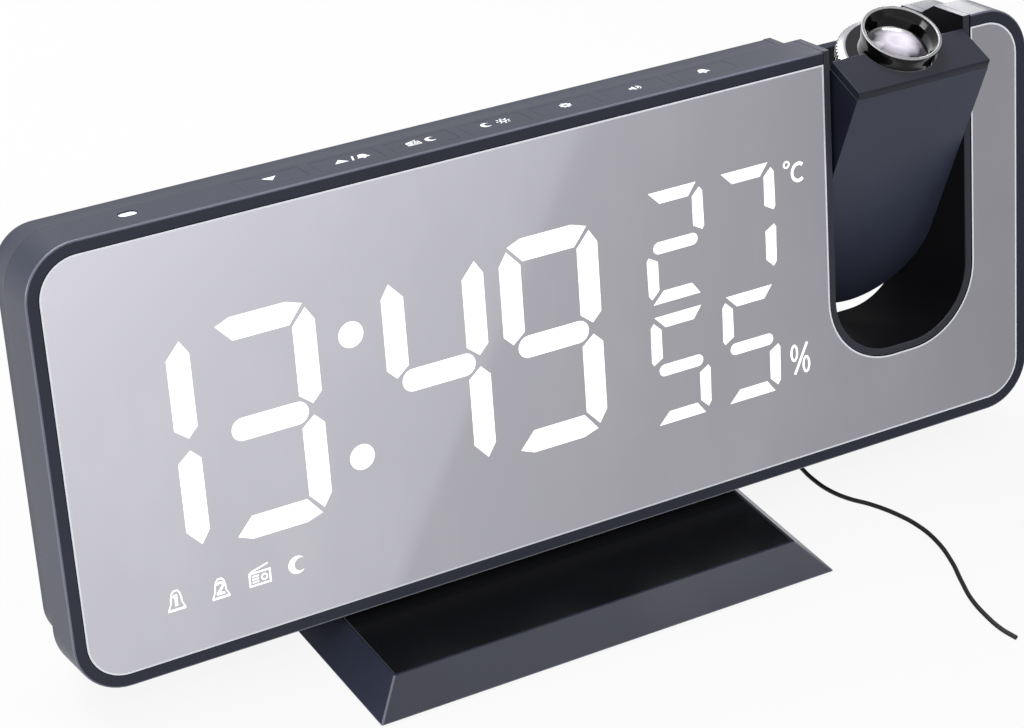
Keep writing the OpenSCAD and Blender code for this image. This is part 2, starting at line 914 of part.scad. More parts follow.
module climate_sensor() {
    color("#5b86b8")
        leaning()
            difference() {
                chip(climate_at[0], climate_at[1], 11, 14, 5.5);
                for (i = [-2 : 2])
                    translate([
                        climate_at[0] - 4, board_back + 4.9, climate_at[1] + i * 2.6 - 0.6
                    ])
                        cube([8, 2, 1.2]);
            }
}

module power_socket() {
    color("#17171a")
        leaning() {
            difference() {
                union() {
                    chip(power_at[0], power_at[1], power_w, power_h, cover_floor - board_back - 0.2);
                    rod(power_at[0], power_at[1], cover_floor - 0.4, wall + 0.2, power_face_r);
                }
                rod(power_at[0], power_at[1], body_depth - 9, 9 + over, power_bore_r);
            }
            rod(power_at[0], power_at[1], body_depth - 9.5, 8.4, 1);
        }
}

module usb_socket() {
    color("#c9cbd0")
        leaning()
            difference() {
                translate([usb_at[0] - usb_w / 2, board_back, usb_at[1] - usb_h / 2])
                    cube([usb_w, body_depth - board_back, usb_h]);
                translate([
                    usb_at[0] - usb_w / 2 + usb_wall, board_back + 2, usb_at[1] - usb_h / 2 + usb_wall
                ])
                    cube([usb_w - 2 * usb_wall, body_depth, 1]);
                translate([
                    usb_at[0] - usb_w / 2 + usb_wall, board_back + 2,
                    usb_at[1] - usb_h / 2 + usb_wall + 0.9
                ])
                    cube([1.4, body_depth, usb_h - 2 * usb_wall - 0.9]);
                translate([
                    usb_at[0] + usb_w / 2 - usb_wall - 1.4, board_back + 2,
                    usb_at[1] - usb_h / 2 + usb_wall + 0.9
                ])
                    cube([1.4, body_depth, usb_h - 2 * usb_wall - 0.9]);
                translate([
                    usb_at[0] - usb_w / 2 + usb_wall, board_back + 2,
                    usb_at[1] + usb_h / 2 - usb_wall - 2.2
                ])
                    cube([usb_w - 2 * usb_wall, body_depth, 2.2]);
            }
}

module speaker_frame() {
    y0 = cover_floor - speaker_t;
    color("#3c3d42")
        leaning()
            difference() {
                union() {
                    rod(speaker_at[0], speaker_at[1], cover_floor - 1.4, 1.4, speaker_r);
                    rod(speaker_at[0], speaker_at[1], y0 + 0.8, speaker_t - 1.4, speaker_r - 2.4);
                }
                rod(speaker_at[0], speaker_at[1], y0 + 1.6, speaker_t, speaker_r - 3.2);
                rod(speaker_at[0], speaker_at[1], y0, speaker_t, 5);
            }
}

module speaker_cone() {
    rim = speaker_r - 3.2;
    color("#1e1e20")
        leaning()
            translate([speaker_at[0], cover_floor - 0.4, speaker_at[1]])
                rotate([90, 0, 0])
                    rotate_extrude()
                        polygon([[0, 2.4], [5, 2.2], [rim, 0.3], [rim, 0], [5, 1.8], [0, 1.4]]);
}

module speaker_magnet() {
    color("#8b8c90")
        leaning()
            rod(speaker_at[0], speaker_at[1], cover_floor - speaker_t - 1.6, 3.6, 5);
}

// ---- backup cell ----

module coin_cell() {
    color("#c4c6ca")
        leaning()
            rod(door_at[0], door_at[1], bay_deep_y + leaf_t, cell_t, cell_r);
}

// a leaf under the cell and a bent strip beside it
module cell_contacts() {
    color("#c9b15c")
        leaning() {
            translate([door_at[0] - 6, bay_deep_y, door_at[1] - 1.5])
                cube([12, leaf_t, 3]);
            translate([door_at[0] - 1, board_back, door_at[1] - 1])
                cube([2, bay_deep_y - board_back + 0.1, 2]);
            translate([door_at[0] + cell_r + 0.2, bay_deep_y, door_at[1] - 2])
                cube([0.4, 2.8, 4]);
        }
}

// ---- aerial ----

module aerial_grommet() {
    color("#1a1a1c")
        leaning()
            union() {
                rod(grommet_at[0], grommet_at[1], cover_floor - 0.9, wall + 0.9 + grommet_out,
                    grommet_r - 0.6);
                rod(grommet_at[0], grommet_at[1], cover_floor - 0.9, 0.9, grommet_r);
                rod(grommet_at[0], grommet_at[1], body_depth, grommet_out, grommet_r);
            }
}

// smooth curve through four neighbouring points, at t from 0 to 1
function curve(a, b, c, d, t) = 0.5 * (
    2 * b + (c - a) * t + (2 * a - 5 * b + 4 * c - d) * t * t + (3 * b - a - 3 * c + d) * t * t * t
);
function held(points, i) = points[max(0, min(len(points) - 1, i))];
function curve_points(points, steps) = concat(
    [
        for (i = [0 : len(points) - 2]) for (k = [0 : steps - 1])
            curve(held(points, i - 1), points[i], points[i + 1], held(points, i + 2), k / steps)
    ],
    [points[len(points) - 1]]
);
function unit(v) = v / norm(v);
function heading(line, i) = unit(held(line, i + 1) - held(line, i - 1));
// side direction of each ring, carried along the line so that the tube doesn't twist
function side_way(last, ahead) = unit(last - (last * ahead) * ahead);
function sides_along(line, i, last) = i >= len(line) ? [] : let (now = side_way(last, heading(line, i)))
    concat([now], sides_along(line, i + 1, now));
function lowest(p, floor_z) = [p[0], p[1], max(p[2], floor_z)];

module tube(points, r, steps, sides) {
    line = [for (p = curve_points(points, steps)) lowest(p, r)];
    across = sides_along(line, 0, [1, 0, 0]);
    rings = [
        for (i = [0 : len(line) - 1]) for (k = [0 : sides - 1])
            let (up = cross(heading(line, i), across[i]), a = (k + 0.5) * 360 / sides)
                line[i] + r * (cos(a) * across[i] + sin(a) * up)
    ];
    last = (len(line) - 1) * sides;
    polyhedron(
        points = rings,
        faces = concat(
            [[for (k = [0 : sides - 1]) k]],
            [[for (k = [0 : sides - 1]) last + sides - 1 - k]],
            [
                for (i = [0 : len(line) - 2]) for (k = [0 : sides - 1])
                    let (n = (k + 1) % sides)
                        [i * sides + k, (i + 1) * sides + k, (i + 1) * sides + n, i * sides + n]
            ]
        )
    );
}

module aerial_lead() {
    color("#17171a")
        tube(lead_route, lead_r, lead_steps, lead_sides);
}

// ---- pivot ----

module pivot_pin(side) {
    color("#9a9ca1")
        on_pivot(0)
            mirror([side < 0 ? 1 : 0, 0, 0])
                difference() {
                    union() {
                        axle(pin_in, liner_half + pin_flange_t, pin_r);
                        axle(liner_half, liner_half + pin_flange_t, pin_flange_r);
                    }
                    if (side < 0)
                        axle(pin_in - over, slot_w, pin_bore_r);
                }
}

module friction_washers() {
    color("#d8d2b8")
        on_pivot(0)
            for (s = [0, 1])
                mirror([s, 0, 0])
                    difference() {
                        axle(arm_w / 2 + 0.05, liner_in / 2, bush_r);
                        axle(0, slot_w, pin_r + run_gap);
                    }
}

// cable that enters through the hollow pin and runs down the side of the lamp box
module projector_leads() {
    across = [1.2, 2];
    entry = 8;
    color("#9b2f2a")
        on_arm() {
            axle(-liner_half - 2.4, -engine_w / 2 - 0.1, 1);
            translate([-engine_w / 2 - across[0], pivot_y - across[1] / 2, tube_bottom - entry])
                cube([across[0], across[1], pivot_z - tube_bottom + entry + 0.5]);
        }
}

module pivot_bushes() {
    color("#c8a24a")
        on_arm()
            for (s = [0, 1])
                mirror([s, 0, 0])
                    difference() {
                        union() {
                            axle(bush_in, arm_w / 2, bush_r);
                            axle(bush_in, arm_in / 2, bush_flange_r);
                        }
                        axle(0, slot_w, pin_r + run_gap);
                    }
}

// ---- arm ----

module arm_bosses(y, t, r) {
    for (x = [-arm_boss_x, arm_boss_x], z = arm_boss_z)
        rod(x, z, y, t, r);
}

module arm_front_shell() {
    color("#34363f")
        on_arm()
            difference() {
                union() {
                    difference() {
                        slab(0, pivot_y)
                            arm_outline(0, plate_z);
                        slab(arm_wall, pivot_y)
                            arm_outline(arm_wall, plate_z + over);
                    }
                    intersection() {
                        arm_bosses(arm_wall - 0.1, pivot_y - arm_wall + 0.1, 2.2);
                        slab(0, pivot_y)
                            arm_outline(arm_wall / 2, plate_z);
                    }
                }
                axle(-slot_w, slot_w, bush_r + 0.03);
                arm_bosses(3, pivot_y, board_screw_r + pilot_gap);
            }
}

module arm_rear_shell() {
    color("#26282f")
        on_arm()
            difference() {
                union() {
                    difference() {
                        slab(pivot_y, arm_depth - pivot_y)
                            arm_outline(0, rear_top);
                        slab(pivot_y - over, arm_depth - arm_wall - pivot_y + over)
                            arm_outline(arm_wall, rear_top + over);
                    }
                    intersection() {
                        arm_bosses(pivot_y, arm_depth - arm_wall - pivot_y + 0.1, 2.4);
                        slab(pivot_y, arm_depth - pivot_y)
                            arm_outline(arm_wall / 2, rear_top);
                    }
                }
                axle(-slot_w, slot_w, bush_r + 0.03);
                arm_bosses(pivot_y - over, arm_depth, board_screw_r + 0.15);
                arm_bosses(arm_depth - 2.2, arm_depth, 1.9);
            }
}

// covers the front half of the arm's top, with half a hole round the barrel
module arm_top_plate() {
    color("#3b3d46")
        on_arm()
            difference() {
                translate([-arm_w / 2, 0, plate_z])
                    cube([arm_w, pivot_y, top_plate_t]);
                translate([0, pivot_y, plate_z - over])
                    cylinder(r = plate_hole_r, h = top_plate_t + 2 * over);
            }
}

module arm_screws() {
    color("#8f9196")
        on_arm()
            for (x = [-arm_boss_x, arm_boss_x], z = arm_boss_z)
                screw(x, z, 4, arm_depth - 2.2, board_screw_r, 1.7, 1.2);
}

// guide of the lens barrel, on the box that holds the picture panel and the lamp
module projector_tube() {
    lid_t = 1.2;
    color("#1d1d20")
        on_arm()
            difference() {
                union() {
                    translate([0, pivot_y, tube_bottom])
                        cylinder(r = tube_r, h = rear_top + 0.2 - tube_bottom);
                    translate([-arm_in / 2, arm_wall, rear_top - lid_t])
                        cube([arm_in, arm_depth - 2 * arm_wall, lid_t]);
                    translate([-engine_w / 2, pivot_y - engine_d / 2, engine_bottom])
                        cube([engine_w, engine_d, tube_bottom - engine_bottom + 0.1]);
                }
                translate([0, pivot_y, tube_bottom])
                    cylinder(r = neck_bore, h = rear_top);
                engine_slice(engine_bottom - over, tube_bottom - engine_bottom + over + 0.2);
            }
}

// a slice across the inside of the box below the tube
module engine_slice(z, t) {
    w = engine_w - 2 * engine_wall;
    d = engine_d - 2 * engine_wall;
    translate([-w / 2, pivot_y - d / 2, z])
        cube([w, d, t]);
}

// square-flanged lens that gathers the lamp's light
module condenser_lens() {
    z = engine_bottom + 10;
    flange = 1.2;
    ball = 8;
    color("#dfe6ea")
        on_arm() {
            engine_slice(z, flange);
            translate([0, pivot_y, z + flange])
                intersection() {
                    cylinder(r = 5.4, h = 4);
                    translate([0, 0, -6])
                        sphere(r = ball);
                }
        }
}

module projector_lcd() {
    lcd_t = 1.4;
    color("#39474f")
        on_arm()
            engine_slice(tube_bottom - lcd_t - 0.2, lcd_t);
}

module projector_board() {
    color("#1f5a3a")
        on_arm()
            translate([-engine_w / 2, pivot_y - engine_d / 2, engine_bottom - board_t])
                cube([engine_w, engine_d, board_t]);
}

module projector_led() {
    color("#efe9b8")
        on_arm()
            translate([0, pivot_y, engine_bottom]) {
                translate([-2.5, -2.5, 0])
                    cube([5, 5, 1.4]);
                translate([0, 0, 1.4])
                    cylinder(r = 1.9, h = 0.8);
            }
}

// knurled over its rear half, where a thumb reaches it; narrow under the top plate
module focus_ring() {
    teeth = 36;
    bevel = 0.9;
    color("#b8b9bd")
        on_arm()
            translate([0, pivot_y, ring_z])
                difference() {
                    union() {
                        cylinder(r = ring_inner_r, h = ring_h);
                        difference() {
                            union() {
                                cylinder(r = ring_r, h = ring_h - bevel);
                                translate([0, 0, ring_h - bevel])
                                    cylinder(r1 = ring_r, r2 = ring_r - 1.4, h = bevel);
                            }
                            translate([-2 * ring_r, -4 * ring_r, -over])
                                cube([4 * ring_r, 4 * ring_r, ring_h + 2 * over]);
                            for (i = [0 : teeth])
                                rotate([0, 0, i * 180 / teeth])
                                    translate([ring_r + 0.15, 0, -over])
                                        rotate([0, 0, 45])
                                            translate([-0.3, -0.3, 0])
                                                cube([0.6, 0.6, ring_h + 2 * over]);
                        }
                    }
                    translate([0, 0, -over])
                        cylinder(r = neck_bore, h = ring_h + 2 * over);
                }
}

module lens_barrel() {
    cone_z = arm_top - 0.4;
    color("#121214")
        on_arm()
            translate([0, pivot_y, 0])
                rotate_extrude()
                    polygon([
                        [barrel_in_r - 0.6, barrel_bottom], [neck_r, barrel_bottom],
                        [neck_r, cone_z], [rim_r, rim_z - 0.3], [rim_r, rim_z],
                        [rim_r - 0.5, rim_z], [barrel_in_r, rim_z - 1.9],
                        [barrel_in_r, rim_z - 4.4], [barrel_in_r - 0.6, rim_z - 4.4]
                    ]);
}

// domed front lens, seated on the barrel's inner shoulder
module front_lens() {
    r = barrel_in_r - 0.02;
    ball = 9.5;
    drop = sqrt(ball * ball - r * r);
    color("#dde3ea")
        on_arm()
            translate([0, pivot_y, rim_z - 4.4]) {
                cylinder(r = r, h = 1);
                intersection() {
                    translate([0, 0, 1])
                        cylinder(r = r, h = 4);
                    translate([0, 0, 1 - drop])
                        sphere(r = ball);
                }
            }
}

// ---- stand ----

// the stand's bevelled block, drawn in by inset all round
module stand_block(inset, z0, z1) {
    rise = stand_h - stand_rim;
    function share(z) = (z - stand_rim) / rise;
    hull()
        for (z = [z0, z1]) {
            cut = inset + stand_bevel * share(z);
            translate([stand_left + cut, stand_front + cut, z])
                cube([stand_w - 2 * cut, stand_d - 2 * cut, 0.001]);
        }
}

module stand_base() {
    roof = stand_h - stand_wall;
    rib_t = 1.2;
    color("#4a4d5b") {
        difference() {
            union() {
                stand_block(0, stand_rim, stand_h - 0.001);
                leaning()
                    translate([tongue_x - tongue_w / 2, tongue_y, -3])
                        cube([tongue_w, tongue_t, tongue_top - socket_wall - 0.3 + 3]);
            }
            difference() {
                stand_block(stand_wall * 1.4, stand_rim - 0.001, roof);
                for (x = [-24, -8, 8, 24])
                    translate([stand_x + x - rib_t / 2, stand_front, pad_t])
                        cube([rib_t, stand_d, stand_h]);
                translate([stand_left, -rib_t / 2, pad_t])
                    cube([stand_w, rib_t, stand_h]);
                leaning()
                    translate([tongue_x - tongue_w / 2 - 1, tongue_y - 1, -3])
                        cube([tongue_w + 2, tongue_t + 2, 6]);
            }
            translate([-body_w, -body_w, -body_w])
                cube([2 * body_w, 2 * body_w, body_w + stand_rim]);
            // recess for the inlay, and the hole for the screw through the tongue
            inlay_shape(0, stand_h - inlay_t, inlay_t + 0.001, true);
            leaning()
                rod(tongue_x, stand_screw_z, tongue_y - over, tongue_t + 2 * over,
                    case_screw_r + pilot_gap);
        }
    }
}

// flat glossy panel of the stand's top, cut out round the tongue
module inlay_shape(inset, z, t, around) {
    cut = stand_bevel + 0.4 + inset;
    gap = around ? 0.6 : 0.7;
    difference() {
        translate([stand_left + cut, stand_front + cut, z])
            cube([stand_w - 2 * cut, stand_d - 2 * cut, t]);
        leaning()
            translate([tongue_x - tongue_w / 2 - gap, tongue_y - gap, -5])
                cube([tongue_w + 2 * gap, tongue_t + 2 * gap, 20]);
    }
}

module stand_inlay() {
    color("#141418")
        inlay_shape(fit_gap / 2, stand_h - inlay_t, inlay_t, false);
}

module stand_pad() {
    cut = stand_wall * 1.4 + stand_bevel * pad_t / stand_h + 0.5;
    color("#1c1c1e")
        translate([stand_left + cut, stand_front + cut, 0])
            linear_extrude(pad_t)
                rounded(stand_w - 2 * cut, stand_d - 2 * cut, 3);
}

module stand_screw() {
    color("#8f9196")
        leaning()
            screw(tongue_x, stand_screw_z, tongue_y + 0.4, head_seat_y + 1.4, case_screw_r,
                screw_head_r, screw_head_h);
}

front_housing();
mirror_panel();
slot_liner();
rear_cover();
battery_door();
case_screws();
display_block();
display_segments();
status_icons();
display_leds();
main_board();
main_chips();
board_screws();
key_board();
key_switches();
rear_switches();
light_sensor();
sensor_window();
climate_sensor();
power_socket();
usb_socket();
speaker_frame();
speaker_cone();
speaker_magnet();
coin_cell();
cell_contacts();
aerial_grommet();
aerial_lead();
top_key(0);  // key_down
top_key(1);  // key_up
top_key(2);  // key_radio
top_key(3);  // key_snooze
top_key(4);  // key_set
top_key(5);  // key_volume
top_key(6);  // key_alarm
rear_key(rear_key_x[0]);  // projector_key
rear_key(rear_key_x[1]);  // flip_key
pivot_pin(-1);  // pivot_pin_left
pivot_pin(1);  // pivot_pin_right
friction_washers();
projector_leads();
arm_front_shell();
arm_rear_shell();
arm_top_plate();
arm_screws();
pivot_bushes();
projector_tube();
condenser_lens();
projector_lcd();
projector_board();
projector_led();
focus_ring();
lens_barrel();
front_lens();
stand_base();
stand_inlay();
stand_pad();
stand_screw();
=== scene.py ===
import json
import math

import bmesh
import bpy
from mathutils import Matrix, Vector
from mathutils.geometry import interpolate_bezier

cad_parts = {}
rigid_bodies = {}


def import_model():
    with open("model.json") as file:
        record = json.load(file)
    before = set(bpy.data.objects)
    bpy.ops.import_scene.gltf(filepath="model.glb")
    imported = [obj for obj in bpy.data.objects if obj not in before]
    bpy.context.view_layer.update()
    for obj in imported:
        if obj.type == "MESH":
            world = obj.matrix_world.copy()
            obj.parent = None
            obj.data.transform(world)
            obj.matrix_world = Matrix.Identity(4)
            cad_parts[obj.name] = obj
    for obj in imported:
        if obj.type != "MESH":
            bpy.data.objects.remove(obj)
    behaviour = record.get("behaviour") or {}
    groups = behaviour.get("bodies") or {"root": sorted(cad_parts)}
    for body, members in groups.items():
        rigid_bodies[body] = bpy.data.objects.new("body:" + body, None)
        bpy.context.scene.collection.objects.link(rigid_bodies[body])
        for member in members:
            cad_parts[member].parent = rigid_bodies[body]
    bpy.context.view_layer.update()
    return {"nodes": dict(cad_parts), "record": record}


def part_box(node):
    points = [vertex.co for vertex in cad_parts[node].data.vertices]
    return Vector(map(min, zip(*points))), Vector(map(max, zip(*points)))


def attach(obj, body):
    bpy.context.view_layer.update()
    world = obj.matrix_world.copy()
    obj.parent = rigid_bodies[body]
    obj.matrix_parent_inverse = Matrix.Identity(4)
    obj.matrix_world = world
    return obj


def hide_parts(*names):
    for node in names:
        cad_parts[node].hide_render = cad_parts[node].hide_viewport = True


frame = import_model()
nodes = frame["nodes"]
mm = 0.001
print("frame:", len(nodes), "nodes")

# the leaning body's own frame: x from its left edge, y back from the mirror, z up its face
bodySet = {
    "width": 186.0, "height": 74.6, "corner": 8.8, "bevelStart": 17.6, "depth": 19.1,
    "lean": 9.1, "front": -0.8, "lift": 6.5,
}
armSet = {"slotX": 158.6, "pivotY": 8.6, "pivotZ": 55.2, "tip": 26.2}  # tip in degrees
bodyFrame = (
    Matrix.Translation(Vector((-bodySet["width"] / 2, bodySet["front"], bodySet["lift"])) * mm)
    @ Matrix.Rotation(math.radians(-bodySet["lean"]), 4, "X")
)
armFrame = (
    bodyFrame
    @ Matrix.Translation(Vector((armSet["slotX"], armSet["pivotY"], armSet["pivotZ"])) * mm)
    @ Matrix.Rotation(math.radians(armSet["tip"]), 4, "X")
    @ Matrix.Translation(Vector((0, -armSet["pivotY"], -armSet["pivotZ"])) * mm)
)
ownFrame = Matrix.Identity(4)

# the camera, in millimetres and degrees
cameraSet = {
    "place": (-229.14, -357.53, 294.73), "azimuth": -30.848, "elevation": 30.982, "roll": 0.877,
    "lens": 106.75, "sensor": 36, "nearest": 10,
}


def addCamera(settings):
    azimuth, elevation, roll = (math.radians(settings[k]) for k in ("azimuth", "elevation", "roll"))
    ahead = Vector((
        -math.sin(azimuth) * math.cos(elevation), math.cos(azimuth) * math.cos(elevation),
        -math.sin(elevation),
    ))
    right = ahead.cross(Vector((0, 0, 1))).normalized()
    up = right.cross(ahead)
    across = right * math.cos(roll) + up * math.sin(roll)
    upwards = up * math.cos(roll) - right * math.sin(roll)
    camera = bpy.data.objects.new("Camera", bpy.data.cameras.new("Camera"))
    bpy.context.collection.objects.link(camera)
    turn = Matrix((across, upwards, -ahead)).transposed().to_4x4()
    camera.matrix_world = Matrix.Translation(Vector(settings["place"]) * mm) @ turn
    camera.data.lens = settings["lens"]
    camera.data.sensor_width = settings["sensor"]
    camera.data.clip_start = settings["nearest"] * mm
    bpy.context.scene.camera = camera


addCamera(cameraSet)
bpy.context.scene.view_settings.view_transform = "Standard"
print("camera set")


def tone(red, green, blue):
    # a colour as a screen shows it, 0 to 255, made linear
    return tuple(
        (c / 255) / 12.92 if c / 255 <= 0.04045 else ((c / 255 + 0.055) / 1.055) ** 2.4
        for c in (red, green, blue)
    ) + (1.0,)


def shade(colour, amount):
    # the same colour, lighter or darker
    return tuple(min(1.0, c * amount) for c in colour[:3]) + (1.0,)


class Wire:
    # one value in a shader; arithmetic on it adds Math nodes
    def __init__(self, finish, socket):
        self.finish = finish
        self.socket = socket

    def other(self, name):
        # another output of the same node
        return Wire(self.finish, self.socket.node.outputs[name])

    def maths(self, operation, other, swapped=False):
        pair = (other, self) if swapped else (self, other)
        return self.finish.node(
            "ShaderNodeMath", {"operation": operation}, {0: pair[0], 1: pair[1]}
        )

    def __add__(self, other):
        return self.maths("ADD", other)

    def __radd__(self, other):
        return self.maths("ADD", other)

    def __sub__(self, other):
        return self.maths("SUBTRACT", other)

    def __rsub__(self, other):
        return self.maths("SUBTRACT", other, True)

    def __mul__(self, other):
        return self.maths("MULTIPLY", other)

    def __rmul__(self, other):
        return self.maths("MULTIPLY", other)

    def __lt__(self, other):
        return self.maths("LESS_THAN", other)


class Finish:
    # a material, or the world, under construction; coords are the piece's own, in millimetres
    def __init__(self, name, world=None):
        self.material = world or bpy.data.materials.new(name)
        self.material.use_nodes = True
        self.tree = self.material.node_tree
        self.tree.nodes.clear()
        place = self.node("ShaderNodeTexCoord", output="Object")
        self.coords = self.node(
            "ShaderNodeVectorMath", {"operation": "SCALE"}, {0: place, "Scale": 1000.0}
        )

    def node(self, kind, settings=None, sockets=None, output=0):
        made = self.tree.nodes.new(kind)
        for name, value in (settings or {}).items():
            setattr(made, name, value)
        for name, value in (sockets or {}).items():
            if isinstance(value, Wire):
                self.tree.links.new(value.socket, made.inputs[name])
            else:
                made.inputs[name].default_value = value
        return Wire(self, made.outputs[output]) if len(made.outputs) else made

    def noise(self, perMm, detail=2.0, rough=0.5, coords=None):
        return self.node("ShaderNodeTexNoise", {}, {
            "Vector": coords or self.coords, "Scale": perMm, "Detail": detail, "Roughness": rough,
        })

    def cells(self, perMm):
        return self.node(
            "ShaderNodeTexVoronoi", {}, {"Vector": self.coords, "Scale": perMm}, "Distance",
        )

    def stretched(self, x, y, z):
        # the coordinates multiplied, so that a pattern runs long where the factor is small
        return self.node(
            "ShaderNodeVectorMath", {"operation": "MULTIPLY"}, {0: self.coords, 1: (x, y, z)}
        )

    def between(self, value, low, high, outLow=0.0, outHigh=1.0):
        # 0 at low and 1 at high, or the two values given
        return self.node("ShaderNodeMapRange", {"clamp": True}, {
            "Value": value, "From Min": low, "From Max": high, "To Min": outLow, "To Max": outHigh,
        })

    def blend(self, mask, colourA, colourB):
        return self.node("ShaderNodeMix", {"data_type": "RGBA"}, {
            "Factor": mask, 6: colourA, 7: colourB,
        }, 2)

    def bump(self, height, depthMm, strength=1.0):
        return self.node("ShaderNodeBump", {}, {
            "Height": height, "Distance": depthMm * mm, "Strength": strength,
        })

    def done(self, sockets):
        shader = self.node("ShaderNodeBsdfPrincipled", {}, sockets)
        self.node("ShaderNodeOutputMaterial", {}, {"Surface": shader})
        return self.material


def satinPlastic(name, colour, rough=0.4, grain=3.2, depth=0.008, specular=0.35):
    # fine spark-eroded grain, a faint cloudiness and the shine of handled spots
    f = Finish(name)
    cloud = f.noise(0.06, 3.0)
    fine = f.noise(grain, 3.0, 0.6)
    handled = f.between(f.noise(0.035, 2.0), 0.52, 0.7)
    return f.done({
        "Base Color": f.blend(f.between(cloud, 0.3, 0.7), shade(colour, 0.92), shade(colour, 1.1)),
        "Roughness": rough + (fine - 0.5) * 0.16 - handled * 0.06,
        "Normal": f.bump(fine, depth),
        "Specular IOR Level": specular,
    })


def glossPlastic(name, colour, rough=0.08, specular=0.5, peelDepth=0.006):
    # polished black with the slightest orange peel, dust and wiping marks
    f = Finish(name)
    peel = f.noise(0.35, 2.0)
    dust = f.between(f.noise(2.6, 4.0, 0.7), 0.68, 0.78)
    wiped = f.between(f.noise(0.12, 3.0, 0.6, f.stretched(1, 1, 3)), 0.45, 0.75)
    return f.done({
        "Base Color": f.blend(dust * 0.2, colour, shade(colour, 2.5)),
        "Roughness": rough + wiped * 0.06 + dust * 0.1,
        "Normal": f.bump(peel, peelDepth),
        "Specular IOR Level": specular,
    })


def brushedMetal(name, colour, rough=0.3, stretch=(0.1, 4, 4), depth=0.004):
    f = Finish(name)
    lines = f.noise(1.6, 4.0, 0.7, f.stretched(*stretch))
    spots = f.between(f.noise(0.8, 3.0), 0.6, 0.75)
    return f.done({
        "Base Color": f.blend(lines, shade(colour, 0.8), shade(colour, 1.1)),
        "Metallic": 1.0 - spots * 0.08,
        "Roughness": rough + (lines - 0.5) * 0.2 + spots * 0.1,
        "Normal": f.bump(lines, depth),
    })


def softRubber(name, colour, rough=0.75, depth=0.03):
    f = Finish(name)
    grain = f.noise(4.0, 3.0, 0.6)
    bloom = f.between(f.noise(0.2, 3.0), 0.4, 0.7)
    return f.done({
        "Base Color": f.blend(bloom, colour, shade(colour, 1.35)),
        "Roughness": rough + (grain - 0.5) * 0.12,
        "Normal": f.bump(grain, depth),
        "Specular IOR Level": 0.3,
    })


def clearPlastic(name, colour, rough=0.02, transmission=0.95):
    f = Finish(name)
    wave = f.noise(0.15, 2.0)
    haze = f.between(f.noise(0.5, 3.0), 0.5, 0.8)
    return f.done({
        "Base Color": f.blend(haze, colour, shade(colour, 0.94)),
        "Roughness": rough + haze * 0.03,
        "Transmission Weight": transmission,
        "IOR": 1.49,
        "Normal": f.bump(wave, 0.003),
    })


def circuitBoard(name):
    # copper tracks under green mask, with a few bright pads
    f = Finish(name)
    tracks = f.node("ShaderNodeTexBrick", {"offset": 0.5}, {
        "Vector": f.stretched(1, 0.2, 1), "Scale": 0.35, "Mortar Size": 0.06,
        "Mortar Smooth": 0.2,
    }, "Fac")
    weave = f.noise(1.5, 2.0)
    pads = f.cells(0.35) < 0.16
    mask = f.blend(tracks, tone(18, 84, 48), tone(28, 120, 66))
    return f.done({
        "Base Color": f.blend(pads, mask, tone(196, 190, 170)),
        "Metallic": pads * 0.9,
        "Roughness": 0.32 + weave * 0.1,
        "Normal": f.bump(tracks + pads, 0.03),
    })


def mouldedChip(name):
    f = Finish(name)
    grain = f.noise(3.0, 3.0)
    return f.done({
        "Base Color": f.blend(grain, tone(24, 24, 26), tone(44, 44, 47)),
        "Roughness": 0.55 + (grain - 0.5) * 0.2,
        "Normal": f.bump(grain, 0.02),
    })


def lampPhosphor(name):
    f = Finish(name)
    grain = f.noise(5.0, 2.0)
    return f.done({
        "Base Color": f.blend(grain, tone(236, 222, 120), tone(250, 244, 190)),
        "Roughness": 0.4 + grain * 0.1,
        "Normal": f.bump(grain, 0.01),
    })


def conePaper(name):
    f = Finish(name)
    fibres = f.noise(1.2, 4.0, 0.7, f.stretched(1, 1, 2.4))
    return f.done({
        "Base Color": f.blend(fibres, tone(26, 26, 27), tone(52, 52, 52)),
        "Roughness": 0.8 + fibres * 0.1,
        "Normal": f.bump(fibres, 0.05),
    })


def paintedHighlightLens(name, node, highlightRadius, colour):
    # coated glass with a painted highlight: a soft lilac-white disc of emission over its middle
    f = Finish(name)
    low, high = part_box(node)
    middle = tuple((a + b) / 2 / mm for a, b in zip(low, high))
    out = f.node(
        "ShaderNodeVectorMath", {"operation": "DISTANCE"}, {0: f.coords, 1: middle}, "Value",
    )
    mottle = f.noise(0.5, 2.0)
    ragged = 1.6  # how far the mottle moves the edge of the painted highlight, in mm
    full, gone = (r + ragged / 2 for r in highlightRadius)
    highlightMask = f.between(out + mottle * ragged, full, gone, 1.0, 0.0)
    return f.done({
        "Base Color": f.blend(mottle, tone(26, 24, 34), tone(40, 36, 50)),
        "Emission Color": f.blend(highlightMask * (0.7 + mottle * 0.5), tone(16, 15, 20), colour),
        "Emission Strength": 1.1,
        "Roughness": 0.1 + mottle * 0.06,
        "Specular IOR Level": 0.4,
    })


def litWhite(name, strength):
    # milky white that glows: lit from behind on the display's diffuser and digits, a painted glow
    # on the sensor window
    f = Finish(name)
    cloud = f.noise(0.4, 2.0)
    return f.done({
        "Base Color": f.blend(cloud, tone(228, 229, 233), tone(238, 239, 242)),
        "Emission Color": f.blend(cloud, tone(247, 249, 255), tone(255, 255, 255)),
        "Emission Strength": strength,
        "Roughness": 0.4 + cloud * 0.1,
    })


def printedWhite(name):
    # pad-printed ink, a little thin where the pad lifted; its faint white emission is a painted
    # glow
    f = Finish(name)
    thin = f.between(f.noise(2.4, 3.0, 0.6), 0.55, 0.8)
    return f.done({
        "Base Color": f.blend(thin, tone(238, 239, 243), tone(206, 208, 216)),
        "Emission Color": tone(255, 255, 255),
        "Emission Strength": 0.25,
        "Roughness": 0.5 + thin * 0.15,
    })


